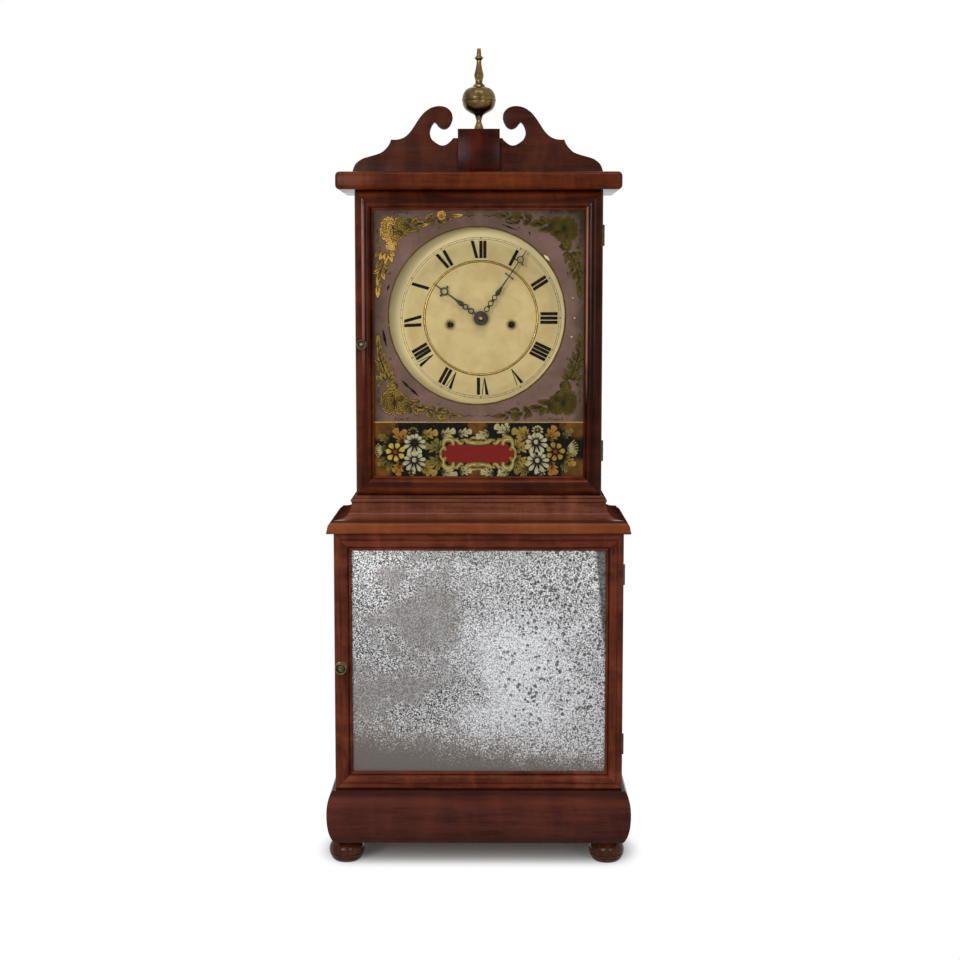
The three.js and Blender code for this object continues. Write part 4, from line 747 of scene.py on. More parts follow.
def bevelled(thing, width, segments=2, limit=40):
    """Rounds the edges that turn by more degrees than the limit."""
    tool = thing.modifiers.new("edge", "BEVEL")
    tool.width = width * MM
    tool.segments = segments
    tool.limit_method = "ANGLE"
    tool.angle_limit = math.radians(limit)
    settled(thing)
    smooth(thing.data)


def joined(name, things):
    """Several meshes as one object."""
    work = bmesh.new()
    finish_slots = []
    for thing in things:
        start = len(work.faces)
        work.from_mesh(thing.data)
        work.faces.ensure_lookup_table()
        own = thing.data.materials[0]
        if own not in finish_slots:
            finish_slots.append(own)
        for face in work.faces[start:]:
            face.material_index = finish_slots.index(own)
        bpy.data.objects.remove(thing)
    data = bpy.data.meshes.new(name)
    work.to_mesh(data)
    work.free()
    for finish in finish_slots:
        data.materials.append(finish)
    return linked(name, data)


def set_down(thing, body, node=None):
    """The piece rides on its body and stands for its node, if it has one."""
    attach(thing, body)
    if node:
        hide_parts(node)


def loft(name, rings, finish, angle=CREASE):
    """A solid through matching closed rings of corners, with both ends closed."""
    count = len(rings[0])
    corners = [corner for ring in rings for corner in ring]
    faces = []
    for r in range(len(rings) - 1):
        for i in range(count):
            j = (i + 1) % count
            faces.append((r * count + i, r * count + j, (r + 1) * count + j, (r + 1) * count + i))
    faces.append(tuple(reversed(range(count))))
    last = (len(rings) - 1) * count
    faces.append(tuple(range(last, last + count)))
    return piece(name, corners, faces, finish, angle)


def turned(name, profile, sides, finish, centre=(0, 0, 0), axis="z", angle=40):
    """A turned solid: profile of (radius, place along the axis) from end to end."""
    corners, faces, rows = [], [], []
    for radius, along in profile:
        start = len(corners)
        if radius:
            ring = [(radius * math.cos(TURN * i / sides), radius * math.sin(TURN * i / sides), along)
                    for i in range(sides)]
        else:
            ring = [(0, 0, along)]
        for x, y, z in ring:
            if axis == "y":
                y, z = z, -y
            corners.append((x + centre[0], y + centre[1], z + centre[2]))
        rows.append(range(start, len(corners)))
    for low, high in zip(rows, rows[1:]):
        for i in range(sides):
            j = (i + 1) % sides
            if len(low) == 1:
                faces.append((low[0], high[j], high[i]))
            elif len(high) == 1:
                faces.append((low[i], low[j], high[0]))
            else:
                faces.append((low[i], low[j], high[j], high[i]))
    return piece(name, corners, faces, finish, angle)


def curve_through(points, steps):
    """A smooth line through points, as the solids' outlines have it."""
    if len(points) < 3:
        return list(points)
    out = []
    for i in range(len(points) - 1):
        p1, p2 = points[i], points[i + 1]
        p0 = points[i - 1] if i else p1
        p3 = points[i + 2] if i + 2 < len(points) else p2
        for s in range(steps):
            t = s / steps
            out.append(tuple(
                0.5 * ((2 * b) + (c - a) * t + (2 * a - 5 * b + 4 * c - d) * t * t
                       + (3 * b - a - 3 * c + d) * t ** 3)
                for a, b, c, d in zip(p0, p1, p2, p3)))
    out.append(points[-1])
    return out


def profile_through(runs, steps):
    """One line through several runs of points, each run smooth in itself."""
    return [point for run in runs for point in curve_through(run, steps)]


def bend(start, control, end, steps):
    """A quadratic curve between two points, without its first point."""
    out = []
    for s in range(1, steps + 1):
        t = s / steps
        out.append(tuple((1 - t) ** 2 * a + 2 * t * (1 - t) * b + t * t * c
                         for a, b, c in zip(start, control, end)))
    return out


def arc(cx, cy, rx, ry, start, end, steps):
    """Points along part of an oval, between two angles in degrees."""
    angles = [math.radians(start + (end - start) * i / steps) for i in range(steps + 1)]
    return [(cx + rx * math.cos(a), cy + ry * math.sin(a)) for a in angles]


def slab_data(outline, front, back, holes=()):
    """Corners and faces of a flat plate cut from an outline in X and Z."""
    loops = [list(outline)] + [list(hole) for hole in holes]
    flat = [point for ring in loops for point in ring]
    triangles = tessellate_polygon([[Vector((x, z, 0)) for x, z in ring] for ring in loops])
    count = len(flat)
    corners = [(x, front, z) for x, z in flat] + [(x, back, z) for x, z in flat]
    faces = [tuple(t) for t in triangles] + [tuple(count + i for i in reversed(t)) for t in triangles]
    start = 0
    for ring in loops:
        size = len(ring)
        for i in range(size):
            a, b = start + i, start + (i + 1) % size
            faces.append((a, b, count + b, count + a))
        start += size
    return corners, faces


def slab(name, outline, front, back, finish, holes=()):
    corners, faces = slab_data(outline, front, back, holes)
    return piece(name, corners, faces, finish)


# Neighbouring shapes lie at slightly different depths, so that no two fronts meet
DEPTHS, DEPTH_STEP = 7, 0.004


def many_slabs(name, shapes, front, back, finish):
    """Many thin shapes of one colour as one mesh, each marked with how far a corner is from its root."""
    corners, faces, along = [], [], []
    for number, shape in enumerate(shapes):
        nudge = (number % DEPTHS) * DEPTH_STEP
        new_corners, new_faces = slab_data(shape, front - nudge, back)
        start = len(corners)
        corners.extend(new_corners)
        faces.extend(tuple(start + i for i in face) for face in new_faces)
        spread = [math.hypot(x - shape[0][0], z - shape[0][1]) for x, z in shape]
        along.extend([value / max(spread) for value in spread] * 2)
    data = raw_mesh(name, corners, faces)
    work = bmesh.new()
    work.from_mesh(data)
    bmesh.ops.recalc_face_normals(work, faces=work.faces)
    work.to_mesh(data)
    work.free()
    data.attributes.new("along", "FLOAT", "POINT").data.foreach_set("value", along)
    data.materials.append(finishes[finish])
    return linked(name, data)


# How close a solid's corners are merged, in metres, and how flat its faces are joined, in degrees
SOLID_SAME_PLACE, SOLID_FLAT = 0.00001, 1


def eased(node, finish, width=0.0, angle=CREASE):
    """A copy of a solid with a finish and, where a width is given, with eased edges."""
    data = frame["nodes"][node].data.copy()
    work = bmesh.new()
    work.from_mesh(data)
    bmesh.ops.remove_doubles(work, verts=work.verts, dist=SOLID_SAME_PLACE)
    bmesh.ops.dissolve_limit(
        work, angle_limit=math.radians(SOLID_FLAT), verts=work.verts, edges=work.edges)
    bmesh.ops.recalc_face_normals(work, faces=work.faces)
    work.to_mesh(data)
    work.free()
    data.materials.clear()
    data.materials.append(finishes[finish])
    thing = linked("looks_" + node, data)
    if width:
        bevelled(thing, width)
    smooth(thing.data, angle)
    return thing


def body_of_node(node):
    """The body that a solid rides on."""
    bodies = frame["record"]["behaviour"]["bodies"]
    return next(body for body, members in bodies.items() if node in members)


def ease_down(node, finish, width=0.0, angle=CREASE):
    """An eased copy of a solid that stands for it on its body."""
    set_down(eased(node, finish, width, angle), body_of_node(node), node)


# Case

# The gaps that keep the mitres apart
BASE_GAP, WAIST_GAP, DOOR_GAP = 0.05, 0.1, 0.06
SIDES = ((-1, "left"), (1, "right"))


def base_section():
    """The swelling outline, in from the outermost edge and up from the foot."""
    points = [(28, 0), (28, 64), (6.5, 64)]
    points += bend((6.5, 64), (0, 53.9), (0, 35.2), 14)
    points += bend((0, 35.2), (0, 10.1), (8.7, 0), 14)
    return points


def make_base():
    """The swelling base as a front and two returns, mitred at the corners."""
    section = base_section()
    front = loft("base_front", [
        [(side * (BASE_X - u - BASE_GAP), BASE_Y + u, BASE_Z + v) for u, v in section] for side in (-1, 1)
    ], "base_wood")
    things = [front]
    for side, name in SIDES:
        things.append(loft("base_" + name, [
            [(side * (BASE_X - u), REAR, BASE_Z + v) for u, v in section],
            [(side * (BASE_X - u), BASE_Y + u + BASE_GAP, BASE_Z + v) for u, v in section],
        ], "base_wood_side"))
    set_down(joined("base_swell", things), "case", "base_moulding")


def waist_section(front):
    """The waist moulding: flared foot, fillet, cove and bead, deeper for the front than for a return."""
    points = [(0.4, 0)] + bend((0.4, 0), (0, 0), (0, 0.5), 2) + [(0, 2.6), (0.7, 3.0)]
    points += bend((0.7, 3.0), (0.7, 12.4), (6.5, 13.3), 12)
    points += [(6.5, 14.3), (7.2, 15.0), (12.4, 15.2)]
    points += bend((12.4, 15.2), (26.8, 16.4), (28, 34), 16)
    points += [(28.0, 34.1), (27.4, 34.5)]
    points += bend((27.4, 34.5), (26.2, 36.6), (27.8, 38.6), 8)
    points += [(28.6, 38.8), (29.2, 39.4)] + bend((29.2, 39.4), (29.4, 42), (31.4, 42), 5)
    if front:
        rear, shelf = WAIST_REAR - WAIST_Y, reach("waist_board", Y, LOW) - WAIST_Y - WAIST_GAP
    else:
        rear, shelf = WAIST_X - WAIST_INNER, WAIST_X - LOWER_HALF - WAIST_GAP
    points += [(rear, 42), (rear, 12.1), (shelf, 12.1), (shelf, 0)]
    return points


def make_waist():
    """The waist moulding as a front and two returns, mitred as far as the hood's corners."""
    corner = WAIST_X - HOOD_HALF
    front = loft("waist_front", [
        [(side * (WAIST_X - min(u, corner) - WAIST_GAP), WAIST_Y + u, WAIST_Z + v)
         for u, v in waist_section(True)]
        for side in (-1, 1)
    ], "waist_wood")
    set_down(front, "case", "waist_moulding_front")
    section = waist_section(False)
    for side, name in SIDES:
        bar = loft("waist_" + name, [
            [(side * (WAIST_X - u), REAR, WAIST_Z + v) for u, v in section],
            [(side * (WAIST_X - u), WAIST_Y + u + WAIST_GAP, WAIST_Z + v) for u, v in section],
        ], "waist_wood_side_shaded")
        set_down(bar, "case", "waist_moulding_" + name)


# One half of the crest's outline, in shares of its half width and of its height
CREST_SHIFT = -1.3
CREST_RUNS = (
    (
        (0.99, 0.0), (0.986, 0.02), (0.976, 0.078), (0.957, 0.138), (0.914, 0.199), (0.869, 0.229),
        (0.811, 0.26), (0.766, 0.29), (0.74, 0.321), (0.709, 0.382), (0.69, 0.442), (0.683, 0.482),
    ),
    (
        (0.68, 0.487), (0.64, 0.487), (0.606, 0.499), (0.568, 0.533), (0.534, 0.594), (0.51, 0.655),
        (0.489, 0.716), (0.468, 0.777), (0.444, 0.837), (0.414, 0.898), (0.363, 0.959), (0.3, 0.983),
        (0.244, 0.959), (0.209, 0.898), (0.198, 0.837), (0.2, 0.777), (0.213, 0.716), (0.232, 0.667),
        (0.26, 0.643), (0.287, 0.653), (0.311, 0.685), (0.322, 0.716), (0.338, 0.744),
    ),
    (
        (0.34, 0.744), (0.354, 0.716), (0.37, 0.655), (0.3765, 0.594), (0.371, 0.533), (0.352, 0.473),
        (0.304, 0.412), (0.27, 0.4), (0.24, 0.422), (0.208, 0.473), (0.193, 0.51),
    ),
)


def make_crest():
    """The scrolled board with its edges worn round, and the plinth that straddles it."""
    wide, foot = reach("crest", X, HIGH), reach("crest", Z, LOW)
    high = reach("crest", Z, HIGH) - foot
    half = profile_through(CREST_RUNS, 3)
    outline = [(side * u * wide + CREST_SHIFT, foot + v * high)
               for side, run in ((1, half), (-1, half[::-1])) for u, v in run]
    board = slab("crest_board", outline, reach("crest", Y, LOW), reach("crest", Y, HIGH), "crest_wood")
    bevelled(board, 0.9, 3, 50)
    set_down(board, "case", "crest")
    ease_down("finial_plinth", "plinth_wood", 0.5)


# The finial's profile, in shares of its radius and of its height
FINIAL_RUNS = (
    (
        (0.313, 0.0), (0.286, 0.024), (0.247, 0.049), (0.171, 0.087), (0.153, 0.107), (0.165, 0.131),
        (0.205, 0.157), (0.26, 0.182), (0.33, 0.194),
    ),
    (
        (0.36, 0.197), (0.48, 0.21), (0.656, 0.23), (0.775, 0.248), (0.86, 0.27), (0.925, 0.295),
        (0.966, 0.327), (0.982, 0.354),
    ),
    ((0.998, 0.358), (1.01, 0.367), (1.002, 0.377)),
    (
        (0.983, 0.381), (0.978, 0.4), (0.955, 0.423), (0.93, 0.441), (0.874, 0.466), (0.833, 0.478),
        (0.781, 0.491), (0.71, 0.504), (0.6, 0.516), (0.43, 0.528),
    ),
    ((0.375, 0.531), (0.36, 0.54), (0.317, 0.554), (0.256, 0.567), (0.215, 0.576)),
    (
        (0.208, 0.58), (0.21, 0.6), (0.222, 0.617), (0.24, 0.63), (0.265, 0.645), (0.28, 0.667),
        (0.276, 0.68), (0.253, 0.706), (0.22, 0.731), (0.194, 0.756), (0.168, 0.782), (0.152, 0.807),
        (0.142, 0.832), (0.142, 0.85),
    ),
    ((0.155, 0.856), (0.21, 0.868), (0.26, 0.8826), (0.21, 0.897), (0.155, 0.91)),
    ((0.138, 0.914), (0.135, 0.93), (0.126, 0.958), (0.115, 0.984), (0.1, 0.998), (0.0, 1.0)),
)


def make_finial():
    """The turned brass ball with its seam, waisted neck and tip."""
    profile = [(0, 0)] + profile_through(FINIAL_RUNS, 5)
    widest = max(r for run in FINIAL_RUNS for r, _ in run)
    radius = reach("finial", X, HIGH) / widest
    foot = reach("finial", Z, LOW)
    high = reach("finial", Z, HIGH) - foot
    sized = [(r * radius, z * high) for r, z in profile]
    finial = turned("finial_turned", sized, 56, "brass_finial", (0, centre_of("finial", Y), foot))
    set_down(finial, "case", "finial")


# A foot's profile, in shares of its radius and of its height
FOOT_RUNS = (
    ((0.6, 0.0), (0.7, 0.02), (0.79, 0.08), (0.855, 0.15), (0.885, 0.195)),
    ((0.865, 0.2), (0.85, 0.214), (0.88, 0.23)),
    ((0.91, 0.236), (0.95, 0.29), (0.965, 0.33)),
    ((0.945, 0.336), (0.93, 0.352), (0.955, 0.368)),
    ((0.985, 0.376), (1.0, 0.47), (0.99, 0.57), (0.945, 0.69), (0.86, 0.79), (0.76, 0.86)),
    ((0.73, 0.875), (0.73, 0.996)),
)


def make_feet():
    """Four turned bun feet with two grooves."""
    profile = [(0, 0)] + profile_through(FOOT_RUNS, 5)
    for node in ("foot_front_left", "foot_front_right", "foot_rear_left", "foot_rear_right"):
        high = reach(node, Z, HIGH)
        radius = (reach(node, X, HIGH) - reach(node, X, LOW)) / 2
        sized = [(r * radius, z * high) for r, z in profile] + [(0, high)]
        foot = turned("turned_" + node, sized, 44, "foot_wood", (centre_of(node, X), centre_of(node, Y), 0))
        set_down(foot, "case", node)


# How far a fillet keeps from the boards beside it, and from the mouldings above and below it
FILLET_GAP, FILLET_END = 0.1, 0.3


def make_back():
    """The back board, with a narrow fillet on each side that closes its gap to the lower sides."""
    board = eased("back_board", "pine_boards", 0.3)
    depth = (reach("back_board", Y, LOW), reach("back_board", Y, HIGH))
    rise = (reach("base_moulding", Z, HIGH) + FILLET_END, WAIST_Z - FILLET_END)
    inner = reach("back_board", X, HIGH) + FILLET_GAP
    outer = reach("lower_side_right", X, LOW) - FILLET_GAP
    fillets = [
        piece(f"back_fillet_{name}", *box_data(width, depth, rise), "pine_boards")
        for name, width in (("left", (-outer, -inner)), ("right", (inner, outer)))
    ]
    set_down(joined("back_boarding", [board] + fillets), "case", "back_board")


def make_boards():
    """The case's flat boards and its rounded cornice."""
    for node in ("lower_side_left", "lower_side_right", "hood_side_left", "hood_side_right"):
        ease_down(node, "side_wood", 0.35)
    for node in ("bottom_board", "waist_board", "seat_board", "lower_door_mirror_board"):
        ease_down(node, "pine_level", 0.3)
    sides = [(reach("cornice", axis, LOW), reach("cornice", axis, HIGH)) for axis in (X, Y, Z)]
    cornice = piece("cornice_board", *box_data(*sides), "cornice_wood")
    bevelled(cornice, 5.2, 7)
    set_down(cornice, "case", "cornice")


def box_data(xs, ys, zs):
    """Corners and faces of a box between two places on each axis."""
    corners = [(x, y, z) for x in xs for y in ys for z in zs]
    faces = [(0, 1, 3, 2), (4, 6, 7, 5), (0, 4, 5, 1), (2, 3, 7, 6), (0, 2, 6, 4), (1, 5, 7, 3)]
    return corners, faces


# Doors


def hood_section():
    """A hood door bar: rabbet behind, a long swell in front that falls steeply to a lip by the glass."""
    points = [(0, 0), (16.1, 0), (16.1, 12), (21.6, 12), (21.6, 12.9)]
    points += bend((21.6, 12.9), (21.5, 13.4), (20.9, 13.5), 4) + [(19.6, 13.5), (19.2, 13.0), (18.9, 13.6)]
    points += bend((18.9, 13.6), (18.4, 19.4), (12.6, 20), 14)
    points += bend((12.6, 20), (3.6, 20.2), (0, 12.6), 18)
    return points


def lower_section():
    """A lower door bar: rabbet behind, a hollow outer edge, a raised round and a bead by the mirror."""
    points = [(0, 0), (15.2, 0), (15.2, 12), (20.7, 12), (20.7, 13.9)]
    points += arc(18.9, 13.9, 1.8, 2.0, 0, 180, 10)
    points += [(16.9, 14.6)] + bend((16.9, 14.6), (16.6, 19.6), (12.2, 20), 12)
    points += [(9.4, 20)] + bend((9.4, 20), (7.9, 19.8), (7.6, 18.3), 5)
    points += bend((7.6, 18.3), (6.6, 16.4), (2.6, 16.9), 8) + bend((2.6, 16.9), (0.3, 17.0), (0, 15.0), 6)
    return points


def stile(name, section, half, back, rise, side, finish):
    """One mitred upright of a door frame."""
    foot, head = rise
    return loft(name, [
        [(side * (half - u), back - v, foot + u + DOOR_GAP) for u, v in section],
        [(side * (half - u), back - v, head - u - DOOR_GAP) for u, v in section],
    ], finish)


def rail(name, section, half, back, edge, inward, finish):
    """One mitred level bar of a door frame, from its outer edge inward."""
    return loft(name, [
        [(side * (half - u - DOOR_GAP), back - v, edge + inward * u) for u, v in section]
        for side in (-1, 1)
    ], finish)


def make_frames():
    for door, section, half, back, rise, left_wood, right_wood, level_wood in (
        ("hood_door", hood_section(), HOOD_HALF, HOOD_BACK, HOOD_Z,
         "hood_wood_upright", "hood_wood_right_shaded", "hood_wood_level"),
        ("lower_door", lower_section(), LOWER_HALF, LOWER_BACK, LOWER_Z,
         "door_wood_upright", "door_wood_upright", "door_wood_level"),
    ):
        for (side, edge), finish in zip(SIDES, (left_wood, right_wood)):
            bar = stile(f"{door}_{edge}", section, half, back, rise, side, finish)
            set_down(bar, door, f"{door}_stile_{edge}")
        for edge, place, inward in (("top", rise[HIGH], -1), ("bottom", rise[LOW], 1)):
            bar = rail(f"{door}_{edge}", section, half, back, place, inward, level_wood)
            set_down(bar, door, f"{door}_rail_{edge}")


# A knob's profile, in shares of its radius and of how far it stands out
KNOB_RUNS = (
    ((0.0, 0.0), (0.24, 0.01), (0.34, 0.05), (0.4, 0.12), (0.42, 0.19)),
    (
        (0.5, 0.2), (0.56, 0.24), (0.66, 0.19), (0.8, 0.12), (0.94, 0.15), (1.0, 0.26), (0.97, 0.38),
        (0.84, 0.47),
    ),
    ((0.74, 0.5), (0.54, 0.6), (0.42, 0.72), (0.46, 0.82)),
    ((0.72, 0.86), (0.92, 0.88), (0.96, 0.93), (0.92, 0.97)),
)


# The radius of a knob's spindle, and the size of its cam
SPINDLE = 2.0
CAM_HALF, CAM_REACH, CAM_THICK = 2.5, 6.3, 2.4


def make_knobs():
    """The turned knobs, each with its spindle and the cam that catches behind the case."""
    for door, body in (("hood_door", "hood_latch"), ("lower_door", "lower_latch")):
        node = door + "_knob"
        x = centre_of(node, X)
        radius = reach(node, X, HIGH) - x
        z = reach(node, Z, LOW) + radius
        front = reach(door + "_rail_top", Y, LOW)
        out = front - reach(node, Y, LOW)
        rear = reach(node, Y, HIGH)
        sized = [(r * radius, front - out + y * out) for r, y in profile_through(KNOB_RUNS, 4)]
        sized += [(SPINDLE, front - 0.3), (SPINDLE, rear), (0, rear)]
        head = turned(node + "_head", sized, 40, "brass_knob", (x, 0, z), "y")
        cam = box_data((x - CAM_HALF, x + CAM_HALF), (rear - CAM_THICK, rear), (z - CAM_HALF, z + CAM_REACH))
        catch = piece(node + "_catch", *cam, "brass_knob")
        bevelled(catch, 0.4)
        thing = joined(node + "_turned", [head, catch])
        smooth(thing.data, 40)
        set_down(thing, body, node)


def make_hinges():
    for node in frame["nodes"]:
        if "_hinge_" in node:
            ease_down(node, "hinge_dark")


# Painted glass


def spun(shape, x, z, degrees):
    """A shape in (along, across) set at a place and turned; 0 degrees points along +X."""
    c, s = math.cos(math.radians(degrees)), math.sin(math.radians(degrees))
    return [(x + (a * c - b * s), z + (a * s + b * c)) for a, b in shape]


def ahead(x, z, degrees, far):
    """The place that lies some way off in a direction."""
    return spun([(far, 0)], x, z, degrees)[0]


def halfway(first, second):
    return ((first[0] + second[0]) / 2, (first[1] + second[1]) / 2)


def two_sided(side, length):
    """A closed outline from its root to its tip and back, from one of its sides."""
    return [(0, 0)] + [(a, -b) for a, b in side] + [(length, 0)] + list(reversed(side))


LEAF_STEPS, PETAL_STEPS = 14, 10


def leaf(length, width, lobes=0):
    """A pointed leaf from its stalk to its tip, with lobed sides if asked."""
    side = []
    for i in range(1, LEAF_STEPS):
        t = i / LEAF_STEPS
        half = width / 2 * math.sin(math.pi * t ** 0.85) ** 0.75
        if lobes:
            half *= 0.66 + 0.34 * abs(math.cos(math.pi * lobes * t))
        side.append((t * length, half))
    return two_sided(side, length)


def petal(length, width):
    """A petal that is widest near its round end."""
    side = []
    for i in range(1, PETAL_STEPS):
        t = i / PETAL_STEPS
        side.append((t * length, width / 2 * math.sin(math.pi * t ** 1.7) ** 0.6 * (0.35 + 0.65 * t)))
    return two_sided(side, length)


def disc(x, z, radius, sides):
    return [(x + radius * math.cos(TURN * i / sides), z + radius * math.sin(TURN * i / sides))
            for i in range(sides)]


def ribbon(points, widths):
    """A flat stroke along points, with a width at its start, middle and end."""
    left, right = [], []
    count = len(points)
    for i, (x, z) in enumerate(points):
        ax, az = points[max(i - 1, 0)]
        bx, bz = points[min(i + 1, count - 1)]
        size = math.hypot(bx - ax, bz - az) or 1
        nx, nz = -(bz - az) / size, (bx - ax) / size
        t = i / (count - 1)
        width = (widths[0] * (1 - 2 * t) + widths[1] * 2 * t if t < 0.5
                 else widths[1] * (2 - 2 * t) + widths[2] * (2 * t - 1))
        left.append((x + nx * width / 2, z + nz * width / 2))
        right.append((x - nx * width / 2, z - nz * width / 2))
    return left + list(reversed(right))


def scroll(x, z, radius, start, sweep, close, steps):
    """A line that curls in on itself, to a share of its radius."""
    out = []
    for i in range(steps + 1):
        t = i / steps
        r = radius * (1 - (1 - close) * t)
        a = math.radians(start + sweep * t)
        out.append((x + r * math.cos(a), z + r * math.sin(a)))
    return out


# One side of a lobed leaf, and its veins as (start, degrees, length), in shares of its length
LEAF_SIDE = (
    (0, 0), (0.06, 0.1), (0.1, 0.24), (0.22, 0.34), (0.3, 0.36), (0.3, 0.24), (0.36, 0.2), (0.5, 0.34),
    (0.64, 0.4), (0.66, 0.3), (0.6, 0.17), (0.7, 0.18), (0.84, 0.26), (0.94, 0.22), (1.0, 0.06), (1.0, 0),
)
LEAF_VEINS = ((0.0, 0, 0.84), (0.1, 42, 0.3), (0.1, -42, 0.3), (0.36, 36, 0.3), (0.36, -36, 0.3))
# The steps between the painted layers behind the glass, and half the thickness of one
LAYER_STEP, LAYER_HALF = 0.07, 0.03
# Where the first layers of the tablet and of the mask lie
TABLET_PAINT, MASK_PAINT = GLASS_BACK - 0.19, GLASS_BACK - 0.15
# How far the painted grounds keep from the glass's edge
GROUND_EDGE = 0.2


class Painting:
    """Shapes gathered by colour, then laid down as thin layers behind the glass."""

    def __init__(self, name):
        self.name = name
        self.layers = {}

    def add(self, colour, *shapes):
        self.layers.setdefault(colour, []).extend(shapes)

    def lobed(self, colour, x, z, degrees, size):
        """An oak-like leaf of one outline, with a dark rib and veins."""
        side = [(a * size, b * size * 0.8) for a, b in curve_through(LEAF_SIDE, 3)]
        outline = [(a, -b) for a, b in side] + [(a, b) for a, b in reversed(side[1:-1])]
        self.add("gilt_edge", spun([(a * 1.06 - size * 0.03, b * 1.12) for a, b in outline], x, z, degrees))
        self.add(colour, spun(outline, x, z, degrees))
        for start, turn, long in LEAF_VEINS:
            foot = ahead(x, z, degrees, size * start)
            end = ahead(*foot, degrees + turn, size * long)
            self.add("gilt_shade", ribbon([foot, halfway(foot, end), end], (0.7, 0.5, 0.2)))

    def daisy(self, colour, heart, x, z, radius, count, start, droop, wide):
        """A ring of petals round a heart, longer below it by the droop, each with a dark rib."""
        z += radius * droop * 0.6
        for i in range(count):
            turn = start + 360 * i / count
            length = radius * (1.0 - droop * math.sin(math.radians(turn)) - 0.08 * (i % 2))
            base = ahead(x, z, turn, radius * 0.2)
            tip = ahead(x, z, turn, length * 0.66)
            self.add(colour, spun(petal(length * 0.8, radius * wide), *base, turn))
            self.add("gilt_shade", ribbon([base, tip], (0.5, 0.3, 0.12)))
        self.add(heart, disc(x, z, radius * 0.2, 14))

    def lay(self, rear, order):
        """Turns the layers into pieces on the hood door, each colour of the order in front of the last."""
        for number, colour in enumerate(order):
            y = rear - LAYER_STEP * number
            shapes = self.layers[colour]
            thing = many_slabs(f"{self.name}_{colour}", shapes, y - LAYER_HALF, y + LAYER_HALF, colour)
            set_down(thing, "hood_door")


# The tablet is drawn on a grid, with its origin at the upper left
TABLET_LEFT, TABLET_TOP = -128.05, 535.68
TABLET_GRID_X, TABLET_GRID_Z = 0.16153, 0.16163
TABLET_UNIT = 0.1616
# The height where the tablet ends, and the width of the gilt line above it
TABLET_HEAD, TABLET_LINE = 526.2, 1.2
# The lobed leaves, as (u, v, degrees, size, colour)
TABLET_LEAVES = (
    (235, 205, 120, 120, "leaf_orange"), (230, 200, 75, 95, "leaf_orange"),
    (375, 150, 10, 120, "leaf_gold"), (390, 185, 60, 80, "leaf_gold"), (515, 150, 18, 112, "leaf_cream"),
    (640, 142, 12, 104, "leaf_cream"), (870, 128, 200, 104, "leaf_cream"),
    (1010, 138, 150, 118, "leaf_cream"), (1000, 130, 95, 70, "leaf_cream"),
    (1160, 150, 165, 132, "leaf_gold"), (1150, 165, 110, 84, "leaf_gold"),
    (1295, 185, 62, 118, "leaf_orange"), (1300, 180, 30, 96, "leaf_orange"),
    (135, 195, 150, 92, "leaf_olive"), (120, 240, 190, 80, "leaf_olive"),
    (120, 320, 215, 88, "leaf_olive"), (150, 345, 250, 74, "leaf_olive"),
    (215, 350, 262, 100, "leaf_orange"), (225, 352, 225, 92, "leaf_orange"),
    (370, 372, 330, 130, "leaf_gold"), (385, 378, 300, 80, "leaf_gold"),
    (520, 415, 345, 118, "leaf_cream"), (650, 420, 5, 92, "leaf_cream"),
    (905, 430, 175, 100, "leaf_cream"), (1010, 405, 215, 96, "leaf_cream"),
    (1020, 420, 180, 88, "leaf_cream"), (1165, 380, 200, 120, "leaf_olive"),
    (1150, 395, 235, 80, "leaf_olive"), (1310, 345, 300, 104, "leaf_orange"),
    (1330, 350, 262, 96, "leaf_orange"), (1410, 165, 40, 90, "leaf_olive"),
    (1420, 320, 330, 96, "leaf_gold"), (1430, 300, 20, 84, "leaf_gold"),
    (1400, 355, 300, 76, "leaf_olive"), (520, 250, 170, 130, "leaf_olive"),
    (520, 255, 120, 92, "leaf_olive"), (520, 320, 200, 124, "leaf_olive"),
    (515, 325, 250, 84, "leaf_olive"), (1050, 250, 10, 130, "leaf_gold"),
    (1055, 245, 60, 92, "leaf_gold"), (1055, 320, 340, 122, "leaf_gold"),
    (1060, 325, 295, 84, "leaf_olive"), (300, 430, 280, 56, "leaf_gold"),
    (1250, 436, 265, 52, "leaf_olive"),
)
# The slim-petalled and the full flowers, as (u, v, radius, petals, first petal, colour, heart)
TABLET_FLOWERS = (
    (322, 218, 84, 11, 8, "petal_cream", "gilt_shade"),
    (320, 345, 86, 11, 4, "petal_cream", "petal_cream"),
    (1212, 212, 86, 11, 12, "petal_cream", "petal_cream"),
    (1222, 348, 88, 11, 2, "petal_cream", "leaf_cream"),
    (180, 274, 74, 7, 20, "petal_yellow", "flower_heart"),
    (1352, 270, 72, 7, 5, "leaf_gold", "flower_heart"), (312, 128, 42, 9, 0, "leaf_olive", "gilt_shade"),
    (1222, 118, 44, 10, 12, "leaf_cream", "leaf_gold"), (304, 416, 30, 7, 10, "leaf_gold", "gilt_shade"),
    (1254, 416, 32, 7, 4, "leaf_cream", "leaf_gold"),
)
# The fans of fine leaves, as (u, v, first degree, last degree, reach)
TABLET_FANS = ((95, 262, 130, 230, 62), (1432, 250, -35, 48, 84))
FAN_LEAVES = 7
# The middle of the red cartouche, and the upper right quarter of its outline from there
CARTOUCHE_U, CARTOUCHE_V = 787, 286
CARTOUCHE_QUARTER = (
    (268, 4), (250, 30), (232, 48), (212, 74), (184, 88), (140, 78), (96, 66), (48, 74), (0, 76),
)
# The beads among its scrolls, as (a, b, radius)
CARTOUCHE_BEADS = ((238, 32, 9), (152, 104, 11), (118, 100, 9), (60, 102, 8))
TABLET_ORDER = (
    "gilt_edge", "scroll_gold", "leaf_olive", "leaf_orange", "leaf_gold", "leaf_cream", "petal_cream",
    "petal_yellow", "flower_heart", "gilt_shade", "scroll_light",
)


